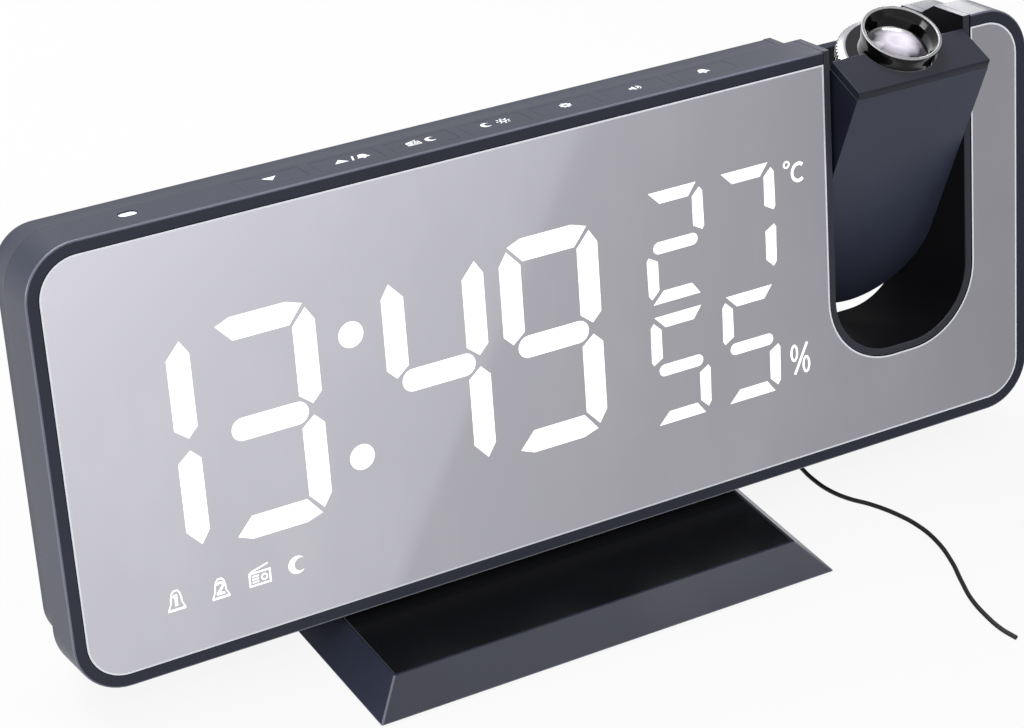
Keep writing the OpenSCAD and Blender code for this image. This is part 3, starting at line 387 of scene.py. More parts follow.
def halfMirror(name):
    # half-silvered acrylic, with the faintest wiping haze
    f = Finish(name)
    haze = f.between(f.noise(0.05, 3.0, 0.6, f.stretched(1, 1, 0.5)), 0.45, 0.75)
    specks = f.between(f.noise(1.8, 3.0, 0.6), 0.72, 0.8)
    return f.done({
        "Base Color": f.blend(haze, tone(213, 212, 221), tone(219, 218, 226)),
        "Metallic": 1.0,
        "Roughness": 0.05 + haze * 0.03 + specks * 0.08,
    })


def paintedEdgeHighlight(name):
    # a painted highlight where the mirror's polished acrylic edge would catch the light: a pale,
    # faintly glowing band with streaks along it
    f = Finish(name)
    saw = f.noise(1.2, 3.0, 0.6, f.stretched(1, 6, 1))
    return f.done({
        "Base Color": f.blend(saw, tone(216, 218, 226), tone(240, 241, 246)),
        "Emission Color": tone(226, 228, 238),
        "Emission Strength": 0.3,
        "Roughness": 0.18 + saw * 0.12,
        "Normal": f.bump(saw, 0.004),
    })


slate = tone(41, 44, 61)
finishes = {
    "case_front": satinPlastic("caseSatin", slate),
    "case_rear": satinPlastic("rearSatin", shade(slate, 0.9), rough=0.45),
    "case_stand": satinPlastic("standSatin", slate, rough=0.34),
    "mirror": halfMirror("mirrorSilver"),
    "black_gloss": glossPlastic("blackGloss", tone(12, 12, 14), rough=0.2, specular=0.3),
    "black_matt": satinPlastic("blackMatt", tone(15, 15, 17), rough=0.65, specular=0.06),
    "diffuser": litWhite("diffuserWhite", 0.6),
    "lamp": lampPhosphor("lampPhosphor"),
    "circuit_board": circuitBoard("circuitBoard"),
    "chip": mouldedChip("mouldedChip"),
    "sensor_blue": satinPlastic("sensorBlue", tone(80, 128, 178), rough=0.5),
    "steel": brushedMetal("zincSteel", tone(178, 180, 184), rough=0.32),
    "plated_steel": brushedMetal("nickelPlate", tone(200, 201, 204), rough=0.24),
    "speaker_steel": brushedMetal("speakerSteel", tone(130, 131, 134), rough=0.4),
    "cone_paper": conePaper("conePaper"),
    "brass": brushedMetal("satinBrass", tone(196, 160, 88), rough=0.35),
    "rubber": softRubber("blackRubber", tone(22, 22, 23)),
    "cable": softRubber("cableSheath", tone(20, 20, 22), rough=0.5, depth=0.01),
    "key_cap": satinPlastic("keySatin", slate),
    "rear_key_cap": satinPlastic("rearKeySatin", tone(58, 60, 70), rough=0.42),
    "washer": satinPlastic("nylonNatural", tone(214, 206, 180), rough=0.5),
    "lead_red": softRubber("redSheath", tone(150, 40, 34), rough=0.5, depth=0.01),
    "clear": clearPlastic("clearAcrylic", tone(244, 246, 252)),
    "lcd_glass": glossPlastic("lcdGlass", tone(60, 74, 82), rough=0.05),
    "ring_metal": brushedMetal("ringMetal", tone(178, 178, 184), rough=0.36, stretch=(2, 2, 0.3)),
}

# finishes of single faces and pieces
# a pale slate for rounded edges of the front shell and the stand, a painted highlight
rimPaintedHighlight = satinPlastic("rimPaintedHighlight", tone(108, 110, 128), rough=0.3, specular=0.5)
# the arm's slate in two tones: darker on its sides and top plate, painted shade, and lighter on its
# front face, painted light
armPaintedShade = satinPlastic("armPaintedShade", tone(31, 33, 48), rough=0.38)
armPaintedLight = satinPlastic("armPaintedLight", tone(64, 68, 88), rough=0.44)
# a paler copy of the liner's black for its front-facing faces, painted light
linerPaintedLight = satinPlastic("linerPaintedLight", tone(52, 54, 64), rough=0.5)
linerMatt = satinPlastic("linerMatt", tone(20, 20, 23), rough=0.7, specular=0.02)
# a pale grey for the lens barrel's top rim, a painted highlight
barrelPaintedHighlight = satinPlastic("barrelPaintedHighlight", tone(176, 176, 178), rough=0.25, specular=0.5)
barrelGloss = glossPlastic("barrelGloss", tone(16, 16, 17), rough=0.1, specular=0.3)
# a dark satin for the focus ring's flat top faces, a painted shade
ringTopPaintedShade = satinPlastic("ringTopPaintedShade", tone(34, 34, 37), rough=0.5, specular=0.2)
inlayGloss = glossPlastic("inlayGloss", tone(20, 21, 24), rough=0.22, specular=0.2)
# the lens glass takes a painted highlight, an emission disc over its middle
lensPaintedHighlight = paintedHighlightLens("lensPaintedHighlight", "front_lens", (2.4, 4.4), tone(240, 234, 248))
# a pale band round the mirror's face, a painted highlight
mirrorEdgeHighlight = paintedEdgeHighlight("mirrorEdgeHighlight")
litDigit = litWhite("litDigit", 1.0)
# the sensor window glows with no lamp behind it, a painted glow
windowPaintedGlow = litWhite("windowPaintedGlow", 0.5)
ink = printedWhite("labelInk")

slotOf = {s["node"]: s["material_slot"] for s in frame["record"]["subparts"]}
bodyOf = {
    node: body for body, members in frame["record"]["behaviour"]["bodies"].items()
    for node in members
}
for name, node in nodes.items():
    node.data.materials.clear()
    node.data.materials.append(finishes[slotOf[name]])
print("finishes:", len(finishes))

# how copies of the solids are mended and rounded: mm, square mm and degrees
mendSet = {
    "merge": 0.002, "skinMerge": 0.03, "flat": 0.4, "sharp": 20.0, "rounded": 35.0,
    "smooth": 38.0, "smallFace": 1.5, "cornerStep": 5.625, "near": 0.05, "front": 0.03,
}
near = mendSet["near"]  # a point this close to a level or an edge lies on it
frontLevel = mendSet["front"]  # and this close to the mirror's face, on the front


def onlySelect(piece):
    if bpy.context.mode != "OBJECT":
        bpy.ops.object.mode_set(mode="OBJECT")
    bpy.ops.object.select_all(action="DESELECT")
    piece.select_set(True)
    bpy.context.view_layer.objects.active = piece


def pickEdges(piece, test):
    # selects the sharp edges whose middle, in mm, passes the test, and counts them
    shape = bmesh.from_edit_mesh(piece.data)
    bpy.ops.mesh.select_mode(type="EDGE")
    bpy.ops.mesh.select_all(action="DESELECT")
    limit = math.radians(mendSet["sharp"])
    count = 0
    for edge in shape.edges:
        middle = (edge.verts[0].co + edge.verts[1].co) / 2 / mm
        if edge.is_manifold and edge.calc_face_angle(0) > limit and test(middle):
            edge.select_set(True)
            count += 1
    bmesh.update_edit_mesh(piece.data)
    return count


def insetOf(p):
    # how far inside the body's rounded outline a point lies, in mm
    halfX, halfZ, r = bodySet["width"] / 2, bodySet["height"] / 2, bodySet["corner"]
    x, z = abs(p.x - halfX) - (halfX - r), abs(p.z - halfZ) - (halfZ - r)
    return r - math.hypot(max(x, 0), max(z, 0)) - min(max(x, z), 0)


def settle(piece, name, body, replaced=()):
    # shading, name and place in the assembly for a finished piece
    onlySelect(piece)
    bpy.ops.object.shade_smooth_by_angle(
        angle=math.radians(mendSet["smooth"]), keep_sharp_edges=False,
    )
    weigh = piece.modifiers.new("weigh", "WEIGHTED_NORMAL")
    weigh.keep_sharp = True
    bpy.ops.object.modifier_apply(modifier=weigh.name)
    piece.name = name
    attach(piece, body)
    if replaced:
        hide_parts(*replaced)
    return piece


def evenCorners(shape, skin):
    # brings the points of the four rounded corners onto the same few directions; skin is their
    # least radius in mm
    r, step = bodySet["corner"], mendSet["cornerStep"]
    for v in shape.verts:
        middle = Vector([
            min(max(v.co[axis] / mm, r), bodySet[size] - r)
            for axis, size in ((0, "width"), (2, "height"))
        ])
        out = Vector((v.co.x, v.co.z)) / mm - middle
        if out.length < skin or min(abs(out.x), abs(out.y)) < 1e-4:
            continue
        turn = math.radians(round(math.degrees(math.atan2(out.y, out.x)) / step) * step)
        v.co.x = (middle.x + out.length * math.cos(turn)) * mm
        v.co.z = (middle.y + out.length * math.sin(turn)) * mm


def softened(
    node, name, rims, placed=bodyFrame, finish=None, edgeFinish=None, allRound=0.0, skin=0.0,
):
    # a moulded copy of a plain node: its sharp edges get the small radii of a real moulding;
    # each rim says where its edges are, how round they get, and whether they take edgeFinish
    piece = bpy.data.objects.new(name, nodes[node].data.copy())
    bpy.context.collection.objects.link(piece)
    piece.data.transform(placed.inverted())
    piece.data.materials.clear()
    piece.data.materials.append(finish or finishes[slotOf[node]])
    if edgeFinish:
        piece.data.materials.append(edgeFinish)
    onlySelect(piece)
    bpy.ops.mesh.customdata_custom_splitnormals_clear()
    bpy.ops.object.mode_set(mode="EDIT")
    bpy.ops.mesh.select_all(action="SELECT")
    bpy.ops.mesh.remove_doubles(threshold=mendSet["merge"] * mm)
    bpy.ops.mesh.mark_sharp(clear=True)
    if skin:
        shape = bmesh.from_edit_mesh(piece.data)
        evenCorners(shape, skin)
        bmesh.update_edit_mesh(piece.data)
        bpy.ops.mesh.remove_doubles(threshold=mendSet["skinMerge"] * mm)
    bpy.ops.mesh.dissolve_limited(angle_limit=math.radians(mendSet["flat"]))
    for rim in rims:
        if pickEdges(piece, rim["where"]):
            bpy.ops.mesh.bevel(
                offset=rim["round"] * mm, segments=rim.get("steps", 3), affect="EDGES",
                clamp_overlap=True, material=1 if rim.get("edge") else -1,
            )
        else:
            print("  no edges for a rim of", name)
    bpy.ops.object.mode_set(mode="OBJECT")
    if allRound:
        rounding = piece.modifiers.new("rounding", "BEVEL")
        rounding.width = allRound * mm
        rounding.segments = 2
        rounding.limit_method = "ANGLE"
        rounding.angle_limit = math.radians(mendSet["rounded"])
        bpy.ops.object.modifier_apply(modifier=rounding.name)

    # small faces of many sides are split, because they may not be quite flat
    bpy.ops.object.mode_set(mode="EDIT")
    bpy.ops.mesh.select_mode(type="FACE")
    bpy.ops.mesh.select_all(action="DESELECT")
    shape = bmesh.from_edit_mesh(piece.data)
    for face in shape.faces:
        face.select_set(len(face.verts) > 4 and face.calc_area() < mendSet["smallFace"] * mm * mm)
    bmesh.update_edit_mesh(piece.data)
    bpy.ops.mesh.quads_convert_to_tris(ngon_method="BEAUTY")
    bpy.ops.object.mode_set(mode="OBJECT")
    piece.data.transform(placed)
    return settle(piece, name, bodyOf[node], (node,))


def finishFaces(piece, finish, placed, test):
    # gives another finish to the faces for which test(normal, middle in mm) holds in that frame
    piece.data.materials.append(finish)
    index = len(piece.data.materials) - 1
    back = placed.inverted()
    for face in piece.data.polygons:
        if test(back.to_3x3() @ face.normal, back @ face.center / mm):
            face.material_index = index


def addBorder(piece, wide):
    # insets the body's front face; the rim takes the piece's second finish
    onlySelect(piece)
    piece.data.transform(bodyFrame.inverted())
    bpy.ops.object.mode_set(mode="EDIT")
    shape = bmesh.from_edit_mesh(piece.data)
    bpy.ops.mesh.select_mode(type="FACE")
    bpy.ops.mesh.select_all(action="DESELECT")
    for face in shape.faces:
        level = face.calc_center_median().y / mm
        face.select_set(face.normal.y < -0.9 and level < frontLevel)
        face.material_index = 1 if face.select else 0
    bmesh.update_edit_mesh(piece.data)
    bpy.ops.mesh.inset(thickness=wide * mm, depth=0)
    shape = bmesh.from_edit_mesh(piece.data)
    for face in shape.faces:
        if face.select:
            face.material_index = 0
    bmesh.update_edit_mesh(piece.data)
    bpy.ops.object.mode_set(mode="OBJECT")
    piece.data.transform(bodyFrame)


# the aerial lead, in mm: it leaves the grommet from root to start, in the body's frame, then
# falls and lies on the table along its route
leadSet = {
    "start": (141.6, 20.3, 9.0), "root": (141.6, 19.5, 9.0), "radius": 0.4,
    "route": (
        (48.9, 23.4, 9.2), (49.2, 23.8, 5), (49.6, 22.6, 1.6), (49.9, 20, .6), (50, 15, .42),
        (49.6, 10, .4), (49.1, 6.9, .4), (48.8, 3.3, .4), (49.2, -1.2, .4), (50.6, -5, .4),
        (53, -8.6, .4), (55, -13, .4), (56.2, -18, .4), (56.1, -23.5, .4), (54.5, -29.9, .4),
        (52.5, -35, .4), (50.7, -40.2, .4), (49.9, -45.3, .4), (49.8, -49.2, .4),
        (50.4, -52.4, .4),
    ),
}


def addLead(settings):
    start = bodyFrame @ (Vector(settings["start"]) * mm)
    step = start - bodyFrame @ (Vector(settings["root"]) * mm)
    points = [start, start + step, start + 2 * step] + [Vector(p) * mm for p in settings["route"]]
    curve = bpy.data.curves.new("aerialLead", "CURVE")
    curve.dimensions = "3D"
    curve.bevel_depth = settings["radius"] * mm
    curve.bevel_resolution = 4
    curve.resolution_u = 8
    curve.use_fill_caps = True
    spline = curve.splines.new("BEZIER")
    spline.bezier_points.add(len(points) - 1)
    for knot, place in zip(spline.bezier_points, points):
        knot.co = place
        knot.handle_left_type = knot.handle_right_type = "AUTO"
    lead = bpy.data.objects.new("aerialLead", curve)
    bpy.context.collection.objects.link(lead)
    bpy.context.view_layer.update()
    for a, b in zip(spline.bezier_points, spline.bezier_points[1:]):
        line = interpolate_bezier(a.co, a.handle_right, b.handle_left, b.co, 24)
    curve.materials.append(finishes["cable"])
    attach(lead, "case")
    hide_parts("aerial_lead")


addLead(leadSet)

# front shell: the radii of its outer edge and of the bezel's inner edge, and where those edges
# lie, in from the outline
housingSet = {"outer": 0.3, "outerTo": 0.3, "inner": 0.12, "innerFrom": 1.6, "innerTo": 2.6}
# its rounded outer edge takes the pale rim colour, a painted highlight
softened("front_housing", "frontShell", [
    {"where": lambda p: p.y < frontLevel and insetOf(p) < housingSet["outerTo"],
     "round": housingSet["outer"], "steps": 4, "edge": True},
    {"where": lambda p: (
        p.y < frontLevel and housingSet["innerFrom"] < insetOf(p) < housingSet["innerTo"]),
     "round": housingSet["inner"], "steps": 2},
], edgeFinish=rimPaintedHighlight)

# mirror: a painted highlight, a bright band all round its face where its polished edge would catch
# the light
mirrorSet = {"border": 0.3}
mirror = softened("mirror_panel", "mirrorPanel", [], edgeFinish=mirrorEdgeHighlight)
addBorder(mirror, mirrorSet["border"])

# liner of the slot: its front-facing faces take a paler colour, painted light, and its two top ends
# match the case
linerSet = {"rim": 0.3, "rimTo": 0.4, "paleTo": 0.5, "topFrom": 72.0}
liner = softened("slot_liner", "slotLiner", [
    {"where": lambda p: p.y < linerSet["rimTo"], "round": linerSet["rim"], "steps": 3},
], finish=linerMatt)
finishFaces(
    liner, linerPaintedLight, bodyFrame, lambda normal, p: normal.y < -0.2 and p.y < linerSet["paleTo"],
)
finishFaces(
    liner, finishes["case_front"], bodyFrame,
    lambda normal, p: normal.z > 0.9 and p.z > linerSet["topFrom"],
)

# rear shell: the two outlines of its bevel, which lie this far in from the body's outline
coverSet = {"rim": 0.5, "skin": 5.3, "backTo": 3.6, "bevelTo": 2.2}
softened("rear_cover", "rearShell", [
    {"where": lambda p: abs(p.y - bodySet["depth"]) < near and insetOf(p) < coverSet["backTo"],
     "round": coverSet["rim"]},
    {"where": lambda p: (
        abs(p.y - bodySet["bevelStart"]) < near and insetOf(p) < coverSet["bevelTo"]),
     "round": coverSet["rim"]},
], skin=coverSet["skin"])

# stand: only the ridges of its bevelled block are rounded; those that rise below ridgeTo take a
# pale colour, a painted highlight
standSet = {"ridge": 0.22, "bevel": 5.0, "foot": 0.3, "top": 5.1, "ridgeTo": 4.6, "pad": 0.15}
standLow, standHigh = (Vector(corner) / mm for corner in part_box("stand_base"))


def onRidge(p):
    # whether a point of the stand lies where two of its faces meet
    inward = min(p.x - standLow.x, standHigh.x - p.x, p.y - standLow.y, standHigh.y - p.y)
    rise = (p.z - standSet["foot"]) / (standSet["top"] - standSet["foot"])
    return abs(inward - standSet["bevel"] * rise) < near


softened("stand_base", "standBase", [
    {"where": lambda p: p.z < standSet["ridgeTo"] and onRidge(p), "round": standSet["ridge"],
     "steps": 2, "edge": True},
    {"where": lambda p: abs(p.z - standSet["top"]) < near and onRidge(p),
     "round": standSet["ridge"], "steps": 2},
], ownFrame, edgeFinish=rimPaintedHighlight)
softened("stand_inlay", "standInlay", [], ownFrame, inlayGloss)
softened("stand_pad", "standPad", [], ownFrame, allRound=standSet["pad"])

# projector arm, in its own frame; its front face takes a lighter slate, painted light, and its
# other faces and top plate a darker slate, painted shade
armRound = {"shell": 0.3, "plate": 0.25}
armFront = softened(
    "arm_front_shell", "armFrontShell", [], armFrame, armPaintedShade, allRound=armRound["shell"],
)
finishFaces(armFront, armPaintedLight, armFrame, lambda normal, p: normal.y < -0.97 and p.y < 0.1)
softened("arm_rear_shell", "armRearShell", [], armFrame, allRound=armRound["shell"])
softened("arm_top_plate", "armTopPlate", [], armFrame, armPaintedShade, allRound=armRound["plate"])

# lens barrel and ring; the barrel's rounded top rim takes a pale grey, a painted highlight
opticSet = {"barrel": 0.2, "ring": 0.1}
barrelPoints = nodes["lens_barrel"].data.vertices
barrelTop = max((armFrame.inverted() @ v.co).z for v in barrelPoints) / mm
softened("lens_barrel", "lensBarrel", [
    {"where": lambda p: p.z > barrelTop - near, "round": opticSet["barrel"], "edge": True},
], armFrame, barrelGloss, barrelPaintedHighlight)
focusRing = softened("focus_ring", "focusRing", [], armFrame, allRound=opticSet["ring"])
# the ring's flat top faces take a dark satin instead of its metal, a painted shade
finishFaces(focusRing, ringTopPaintedShade, armFrame, lambda normal, p: normal.z > 0.97)
softened("front_lens", "frontLens", [], armFrame, lensPaintedHighlight)
print("shells softened")

# keys: each cap nearly fills its hole, so that only a hairline shows
keySet = {
    "rim": 0.03, "wide": 11.0, "deep": 4.6, "grow": 0.17, "middleY": 4.9, "first": 43.3,
    "pitch": 13.2, "names": ("down", "up", "radio", "snooze", "set", "volume", "alarm"),
}
for i, key in enumerate(keySet["names"]):
    cap = softened("key_" + key, key + "Key", [], allRound=keySet["rim"])
    middle = Vector((keySet["first"] + i * keySet["pitch"], keySet["middleY"], 0)) * mm
    scale = Matrix.Diagonal((
        1 + keySet["grow"] / keySet["wide"], 1 + keySet["grow"] / keySet["deep"], 1, 1,
    ))
    swell = Matrix.Translation(middle) @ scale @ Matrix.Translation(-middle)
    cap.data.transform(bodyFrame @ swell @ bodyFrame.inverted())

# the small fittings and their edge radii in mm
fittingSet = {
    "projector_key": ("projectorKey", 0.25), "flip_key": ("flipKey", 0.25),
    "battery_door": ("batteryDoor", 0.2), "sensor_window": ("sensorWindow", 0.1),
    "power_socket": ("powerSocket", 0.12), "usb_socket": ("usbSocket", 0.06),
    "aerial_grommet": ("aerialGrommet", 0.12),
}
for node, (name, radius) in fittingSet.items():
    # the sensor window takes a painted glow
    milky = windowPaintedGlow if node == "sensor_window" else None
    softened(node, name, [], finish=milky, allRound=radius)
print("keys and sockets softened")


# the clock's own face: x right and y up, in mm, on the mirror
faceFrame = bodyFrame @ Matrix.Rotation(math.radians(90), 4, "X")
topFrame = bodyFrame @ Matrix.Translation(Vector((0, 0, bodySet["height"])) * mm)

# digits and labels: how thick they are and how deep they are sunk, in mm
flatSet = {"lit": (0.05, 0.02), "ink": (0.04, 0.015), "merge": 0.001, "straight": 0.5}


def flatPiece(outlines, name, placed, body, finish, kind="lit"):
    # closed outlines filled flat, made a thin mesh that stands on the surface it is placed on
    thick, sunk = flatSet[kind]
    curve = bpy.data.curves.new(name, "CURVE")
    curve.dimensions = "2D"
    curve.fill_mode = "BOTH"
    curve.extrude = thick / 2 * mm
    for outline in outlines:
        spline = curve.splines.new("POLY")
        spline.points.add(len(outline) - 1)
        spline.use_cyclic_u = True
        for point, (x, y) in zip(spline.points, outline):
            point.co = (x * mm, y * mm, 0, 1)
    flat = bpy.data.objects.new(name, curve)
    bpy.context.collection.objects.link(flat)
    onlySelect(flat)
    bpy.ops.object.convert(target="MESH")
    made = bpy.context.object
    bpy.ops.object.mode_set(mode="EDIT")
    bpy.ops.mesh.select_all(action="SELECT")
    bpy.ops.mesh.remove_doubles(threshold=flatSet["merge"] * mm)
    bpy.ops.mesh.dissolve_limited(angle_limit=math.radians(flatSet["straight"]))
    bpy.ops.mesh.normals_make_consistent(inside=False)
    bpy.ops.object.mode_set(mode="OBJECT")
    made.data.transform(placed @ Matrix.Translation(Vector((0, 0, (thick / 2 - sunk) * mm))))
    made.data.materials.clear()
    made.data.materials.append(finish)
    return settle(made, name, body)


def moved(outline, x, y):
    # the same outline elsewhere
    return [(px + x, py + y) for px, py in outline]


def disc(x, y, r, steps=32, squeeze=1.0):
    return [
        (x + r * squeeze * math.cos(2 * math.pi * i / steps),
         y + r * math.sin(2 * math.pi * i / steps)) for i in range(steps)
    ]


def arcBand(x, y, r, wide, start, end, steps=20, squeeze=1.0):
    # a bent stroke round a middle, from one angle to another, in degrees
    turns = [math.radians(start + (end - start) * i / steps) for i in range(steps + 1)]
    outer = [(x + (r + wide / 2) * squeeze * math.cos(t), y + (r + wide / 2) * math.sin(t))
             for t in turns]
    inner = [(x + (r - wide / 2) * squeeze * math.cos(t), y + (r - wide / 2) * math.sin(t))
             for t in reversed(turns)]
    return outer + inner


def bar(x0, y0, x1, y1, wide):
    # a straight stroke from one point to another
    along = Vector((x1 - x0, y1 - y0)).normalized() * wide / 2
    side = Vector((-along.y, along.x))
    return [
        (x0 - side.x, y0 - side.y), (x1 - side.x, y1 - side.y),
        (x1 + side.x, y1 + side.y), (x0 + side.x, y0 + side.y),
    ]


def ring(x, y, r, wide, squeeze=1.0):
    # an outline and its hole
    return [disc(x, y, r + wide / 2, squeeze=squeeze), disc(x, y, r - wide / 2, squeeze=squeeze)]


# digits: cell sizes and where each cell's left edge stands, in mm
digitSet = {
    "large": {"width": 18.5, "height": 37.7, "stroke": 3.95, "foot": 18.6, "cut": 1.0},
    "small": {"width": 11.5, "height": 19.65, "stroke": 2.15, "cut": 0.0},
    "time": (("1", 6.2), ("3", 27.6), ("4", 57.7), ("9", 79.1)),
    "colonX": 52.0, "colonShare": (0.22, 0.78), "colonR": 2.2,
    "degrees": (("2", 106.8), ("7", 121.1)), "degreesFoot": 38.3,
    "percent": (("5", 106.8), ("5", 121.1)), "percentFoot": 16.4,
}

# the degree and percent signs: middles, radii, strokes and how narrow their rounds are
signSet = {
    "ring": (135.1, 56.6, 0.52, 0.32), "letter": (137.5, 54.8, 1.52, 0.6, 50, 310),
    "letterNarrow": 0.85, "zeros": ((135.45, 22.2), (137.9, 19.6)),
    "zeroOuter": (1.6, 0.5), "zeroInner": (1.15, 0.33), "slash": (135.5, 18.2, 138.15, 23.65, 0.48),
}

# which of its strokes each figure lights, named a to f clockwise from the top, g across
litStrokes = {
    "1": "bc", "2": "abged", "3": "abcdg", "4": "bcfg", "5": "afgcd", "7": "abc", "9": "abcdfg",
}


def strokeOutline(letter, cell):
    # one stroke of a figure: the top and right ones are drawn, the others mirror them
    w, h, t = cell["width"], cell["height"], cell["stroke"]
    if cell["cut"]:
        a = [(1.7, h - 1), (4.2, h), (w - 4.7, h), (w - 1.9, h - 0.9), (w - 4.4, h - t),
             (4.4, h - t)]
        b = [(w - t, h - 4.4), (w - 1.5, h - 1.7), (w, h - 4), (w, h / 2 + 2.7),
             (w - 1.7, h / 2 + 1.0), (w - t, h / 2 + 2.8)]
    else:
        a = [(0.9, h), (w - 1.3, h), (w - 2.9, h - t), (3.0, h - t)]
        b = [(w - t, h - 2.4), (w - 0.7, h - 1.0), (w - 0.1, h - 1.8), (w, h / 2 + 1.9),
             (w - 0.4, h / 2 + 1.3), (w - t, h / 2 + 2.3)]
    if letter == "g":
        left, right, r = 0.65 * t, w - 0.65 * t, t * 0.49
        half = [math.radians(-90 + 15 * i) for i in range(13)]
        return (
            [(right - r + r * math.cos(v), h / 2 + r * math.sin(v)) for v in half]
            + [(left + r - r * math.cos(v), h / 2 - r * math.sin(v)) for v in half]
        )
    shape = a if letter in "ad" else b
    if letter in "dce":
        shape = [(x, h - y) for x, y in shape]
    if letter in "ef":
        shape = [(w - x, y) for x, y in shape]
    return shape


def digitOutlines(figure, cell, left, foot):
    return [moved(strokeOutline(s, cell), left, foot) for s in litStrokes[figure]]


def addDigits(settings):
    large, small = settings["large"], settings["small"]
    time = [o for figure, left in settings["time"] for o in
            digitOutlines(figure, large, left, large["foot"])]
    time += [disc(settings["colonX"], large["foot"] + share * large["height"], settings["colonR"])
             for share in settings["colonShare"]]
    flatPiece(time, "timeDigits", faceFrame, "case", litDigit)
    readings = [o for figure, left in settings["degrees"] for o in
                digitOutlines(figure, small, left, settings["degreesFoot"])]
    readings += [o for figure, left in settings["percent"] for o in
                 digitOutlines(figure, small, left, settings["percentFoot"])]
    flatPiece(readings, "readingDigits", faceFrame, "case", litDigit)


def addSigns(settings):
    signs = ring(*settings["ring"])
    signs += [arcBand(*settings["letter"], squeeze=settings["letterNarrow"])]
    for x, y in settings["zeros"]:
        for r, narrow in (settings["zeroOuter"], settings["zeroInner"]):
            signs.append(disc(x, y, r, squeeze=narrow))
    signs += [bar(*settings["slash"])]
    flatPiece(signs, "readingSigns", faceFrame, "case", litDigit)


addDigits(digitSet)
addSigns(signSet)
print("digits lit")


def bellOutline(x, y, size, narrow=1.0):
    # a bell from below: rim, flared sides and a round top
    s = size
    side = [
        (-0.5, -0.3), (-0.5, -0.22), (-0.36, -0.05), (-0.33, 0.14), (-0.26, 0.32), (-0.12, 0.42),
    ]
    right = [(-px, py) for px, py in reversed(side)]
    return [(x + px * s * narrow, y + py * s) for px, py in side + right]


def bellMark(x, y, size, figure=None):
    # an alarm bell; with a figure it is drawn as a line, as on a display
    marks = [bellOutline(x, y, size, 0.61 if figure else 1.0)]
    if figure:
        marks.append([(x + (px - x) * 0.76, y + 0.02 * size + (py - y) * 0.82)
                      for px, py in marks[0]])
        if figure == "1":
            marks.append(bar(x, y - 0.14 * size, x, y + 0.26 * size, 0.1 * size))
            marks.append(bar(x - 0.1 * size, y + 0.17 * size, x - 0.04 * size, y + 0.25 * size,
                             0.07 * size))
        else:
            marks.append(arcBand(x, y + 0.16 * size, 0.1 * size, 0.08 * size, 160, -50))
            marks.append(bar(x + 0.08 * size, y + 0.11 * size, x - 0.12 * size,
                             y - 0.12 * size, 0.08 * size))
            marks.append(bar(x - 0.14 * size, y - 0.12 * size, x + 0.15 * size,
                             y - 0.12 * size, 0.08 * size))
    else:
        marks.append(arcBand(x, y - 0.36 * size, 0.1 * size, 0.1 * size, 180, 360, 8))
    return marks


def box(x, y, halfWide, halfTall):
    # a rectangle by its middle
    return [(x - halfWide, y - halfTall), (x + halfWide, y - halfTall),
            (x + halfWide, y + halfTall), (x - halfWide, y + halfTall)]


def radioMark(x, y, size):
    # a table radio with its aerial, dial and grille; no two of its outlines cross
    s = size
    low = y - 0.08 * s
    marks = [box(x, low, 0.5 * s, 0.32 * s), box(x, low, 0.42 * s, 0.24 * s),
             bar(x - 0.4 * s, low + 0.35 * s, x + 0.4 * s, low + 0.56 * s, 0.07 * s)]
    marks += ring(x + 0.2 * s, low, 0.12 * s, 0.07 * s)
    marks += [box(x - 0.2 * s, low + 0.13 * i * s, 0.15 * s, 0.035 * s) for i in (-1, 0, 1)]
    return marks


def moonMark(x, y, size):
    # a crescent: a round with a second round cut out of its right side
    outer = [math.radians(40 + 280 * i / 28) for i in range(29)]
    r = size * 0.5
    tips = (x + r * math.cos(outer[0]), y + r * math.sin(outer[0])), (
        x + r * math.cos(outer[-1]), y + r * math.sin(outer[-1]))
    middle = (x + 0.42 * r, y)
    reach = math.hypot(tips[0][0] - middle[0], tips[0][1] - middle[1])
    first = math.atan2(tips[1][1] - middle[1], tips[1][0] - middle[0])
    last = math.atan2(tips[0][1] - middle[1], tips[0][0] - middle[0])
    if last > first:
        last -= 2 * math.pi
    inner = [first + (last - first) * i / 20 for i in range(1, 20)]
    return [[(x + r * math.cos(t), y + r * math.sin(t)) for t in outer]
            + [(middle[0] + reach * math.cos(t), middle[1] + reach * math.sin(t)) for t in inner]]


# the marks at the foot of the display: middles and sizes in mm
iconSet = {
    "bells": ((17.7, 11.9, 5.0, "1"), (25.3, 11.6, 5.0, "2")), "radio": (32.2, 11.9, 3.9),
    "moon": (38.8, 11.8, 3.12),
}
icons = [mark for bell in iconSet["bells"] for mark in bellMark(*bell)]
icons += radioMark(*iconSet["radio"]) + moonMark(*iconSet["moon"])
flatPiece(icons, "statusMarks", faceFrame, "case", litDigit)


def sunMark(x, y, size):
    # a ring with eight rays
    marks = ring(x, y, 0.2 * size, 0.1 * size)
    for i in range(8):
        c, s = math.cos(math.pi * i / 4), math.sin(math.pi * i / 4)
        marks.append(bar(x + 0.34 * size * c, y + 0.34 * size * s, x + 0.5 * size * c,
                         y + 0.5 * size * s, 0.1 * size))
    return marks


def gearMark(x, y, size):
    # a toothed wheel with its hole
    teeth = 8
    edge = []
    for i in range(teeth * 4):
        r = size * (0.5 if i % 4 in (0, 1) else 0.37)
        t = 2 * math.pi * (i + 0.5) / (teeth * 4)
        edge.append((x + r * math.cos(t), y + r * math.sin(t)))
    return [edge, disc(x, y, 0.18 * size)]


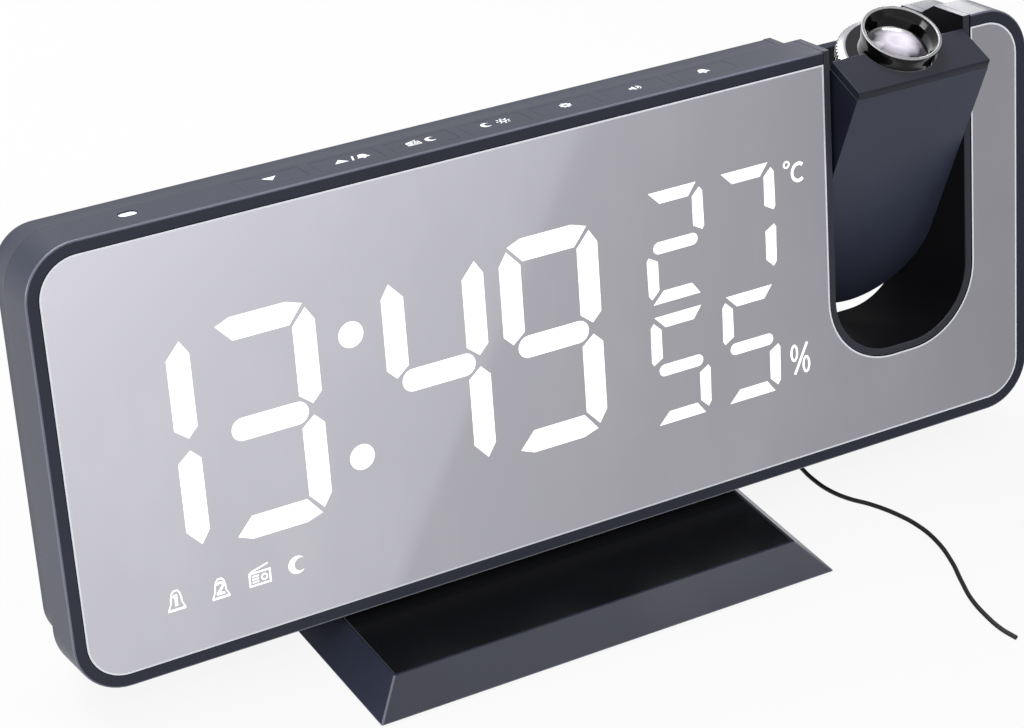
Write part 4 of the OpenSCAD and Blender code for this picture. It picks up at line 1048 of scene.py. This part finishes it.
def speakerMark(x, y, size):
    # a loudspeaker with two waves
    s = size
    horn = [
        (-0.5, -0.15), (-0.3, -0.15), (-0.02, -0.42), (-0.02, 0.42), (-0.3, 0.15), (-0.5, 0.15),
    ]
    return [
        [(x + px * s, y + py * s) for px, py in horn],
        arcBand(x - 0.02 * s, y, 0.28 * s, 0.09 * s, -50, 50, 10),
        arcBand(x - 0.02 * s, y, 0.48 * s, 0.09 * s, -50, 50, 12),
    ]


# key labels: sizes in mm; pairs stand this far left and right of the key's middle
labelSet = {
    "tall": 2.1, "arrow": (1.2, 0.75), "arrowOff": -1.2, "slash": (0.7, 1.3, 0.9, 0.3),
    "bellOff": 2.7, "left": -1.5, "right": 1.6, "radio": 1.1, "moon": 0.9, "sun": 1.15,
}


def arrow(x, y, settings, turn):
    # a triangle that points up, or down where turn is -1
    wide, tall = settings["arrow"]
    return [(x - wide, y - tall * turn), (x, y + tall * turn), (x + wide, y - tall * turn)]


def addLabels(settings):
    x = {name: keySet["first"] + i * keySet["pitch"] for i, name in enumerate(keySet["names"])}
    y, tall = keySet["middleY"], settings["tall"]
    low, high, half, wide = settings["slash"]
    left, right = settings["left"], settings["right"]
    labels = {
        "down": [arrow(x["down"], y, settings, -1)],
        "up": [arrow(x["up"] + settings["arrowOff"], y, settings, 1),
               bar(x["up"] + low, y - half, x["up"] + high, y + half, wide)]
        + bellMark(x["up"] + settings["bellOff"], y, tall),
        "radio": radioMark(x["radio"] + left, y, tall * settings["radio"])
        + moonMark(x["radio"] + right, y, tall * settings["moon"]),
        "snooze": moonMark(x["snooze"] + left, y, tall * settings["moon"])
        + sunMark(x["snooze"] + right, y, tall * settings["sun"]),
        "set": gearMark(x["set"], y, tall),
        "volume": speakerMark(x["volume"], y, tall),
        "alarm": bellMark(x["alarm"], y, tall),
    }
    for key, marks in labels.items():
        flatPiece(marks, key + "Label", topFrame, "key_" + key, ink, "ink")


addLabels(labelSet)
print("labels printed")

# the floor shows white; in gloss it fades to the right, past a straight edge, in mm
stageSet = {
    "floorSize": 3.0, "floorWhite": 0.9, "floorTone": 0.62, "worldFill": 0.28, "worldGloss": 0.75,
    "fadeAlong": (0.816, 0.578), "fadeFrom": -160.0, "fadeEdge": -35.5, "fadeTo": 75.0,
    "fadeLow": 0.44, "fadeStep": 0.87, "fadeEnd": -8.0, "edgeSoft": 1.5, "endSoft": 8.0,
    "mottle": 1.05,
}


def stageFinish(settings):
    # white to camera, gloss and glass, and a plain pale floor to everything else
    f = Finish("floorWhite")
    camera = f.node("ShaderNodeLightPath", output="Is Camera Ray")
    gloss, glass = camera.other("Is Glossy Ray"), camera.other("Is Transmission Ray")
    grain = f.noise(0.02, 3.0)
    pale = (settings["floorTone"],) * 3 + (1.0,)
    plain = f.node("ShaderNodeBsdfDiffuse", {}, {
        "Color": f.blend(grain, pale, shade(pale, settings["mottle"])),
    })
    x = f.node("ShaderNodeSeparateXYZ", {}, {"Vector": f.coords}, "X")
    alongX, alongY = settings["fadeAlong"]
    out = x * alongX + x.other("Y") * alongY
    edge, soft, end = settings["fadeEdge"], settings["edgeSoft"], settings["fadeEnd"]
    fade = f.between(out, settings["fadeFrom"], settings["fadeTo"], 1.0, settings["fadeLow"])
    step = f.between(out, edge - soft, edge + soft, 1.0, settings["fadeStep"])
    ahead = f.between(x.other("Y"), end - settings["endSoft"], end, 1.0, 0.0)
    white = f.node("ShaderNodeEmission", {}, {
        "Color": (1, 1, 1, 1), "Strength": 1.0 - gloss * ahead * (1.0 - fade * step),
    })
    share = f.node("ShaderNodeMath", {"operation": "MINIMUM"}, {
        0: camera * settings["floorWhite"] + gloss + glass, 1: 1.0,
    })
    mixed = f.node("ShaderNodeMixShader", {}, {0: share, 1: plain, 2: white})
    f.node("ShaderNodeOutputMaterial", {}, {"Surface": mixed})
    return f.material


def addWorld(settings):
    # white to camera and glass, paler grey in gloss, and a plain fill for everything else
    world = bpy.data.worlds.new("studio")
    f = Finish("studio", world)
    camera = f.node("ShaderNodeLightPath", output="Is Camera Ray")
    gloss, glass = camera.other("Is Glossy Ray"), camera.other("Is Transmission Ray")
    fill = f.node("ShaderNodeBackground", {}, {
        "Color": (1, 1, 1, 1), "Strength": settings["worldFill"],
    })
    white = f.node("ShaderNodeBackground", {}, {
        "Color": (1, 1, 1, 1), "Strength": 1.0 - gloss * (1.0 - settings["worldGloss"]),
    })
    share = f.node("ShaderNodeMath", {"operation": "MINIMUM"}, {0: camera + gloss + glass, 1: 1.0})
    mixed = f.node("ShaderNodeMixShader", {}, {0: share, 1: fill, 2: white})
    f.node("ShaderNodeOutputWorld", {}, {"Surface": mixed})
    bpy.context.scene.world = world


def addStage(settings):
    bpy.ops.object.select_all(action="DESELECT")
    bpy.ops.mesh.primitive_plane_add(size=settings["floorSize"], location=(0, 0, 0))
    floor = bpy.context.object
    floor.name = "stageFloor"
    floor.data.materials.append(stageFinish(settings))
    addWorld(settings)


# lamps: place and size in metres, power in watts; all are turned to the middle of the clock
lampAim = (0, 0, 0.04)
lampSet = {
    "above": {"place": (-0.15, 0.5, 0.85), "size": 0.6, "power": 9.0},
    "left": {"place": (-0.95, 0.2, 0.15), "size": 0.4, "power": 6.0},
    "frontLeft": {"place": (-0.45, -0.52, 0.72), "size": 0.15, "power": 1.0},
    "frontRight": {"place": (0.5, -0.52, 0.8), "size": 0.5, "power": 2.0},
    "overhead": {"place": (-0.28, -0.02, 1.0), "size": 0.2, "power": 0.8},
    "behindRight": {"place": (0.15, 0.115, 0.105), "size": 0.03, "power": 0.034},
}


def addLamps(settings):
    for name, lamp in settings.items():
        data = bpy.data.lights.new(name, "AREA")
        data.size = lamp["size"]
        data.energy = lamp["power"]
        made = bpy.data.objects.new(name, data)
        bpy.context.collection.objects.link(made)
        made.location = lamp["place"]
        aim = Vector(lampAim) - Vector(lamp["place"])
        made.rotation_euler = aim.to_track_quat("-Z", "Y").to_euler()
        made.visible_camera = False


addStage(stageSet)
addLamps(lampSet)
print("stage and lamps set")

# the mirror shows the open floor, without the stand, the lead and the arm in it, and the gloss
# of the other pieces doesn't show the mirror
unseenInGloss = [bpy.data.objects[name] for name in (
    "mirrorPanel", "timeDigits", "readingDigits", "readingSigns", "statusMarks", "standBase",
    "standInlay", "standPad", "aerialLead", "armFrontShell", "armRearShell", "armTopPlate",
    "lensBarrel", "focusRing", "frontLens",
)]
unseenInGloss += [nodes[n] for n in nodes if bodyOf[n] in ("arm", "focus", "barrel")]
for piece in unseenInGloss:
    piece.visible_glossy = False
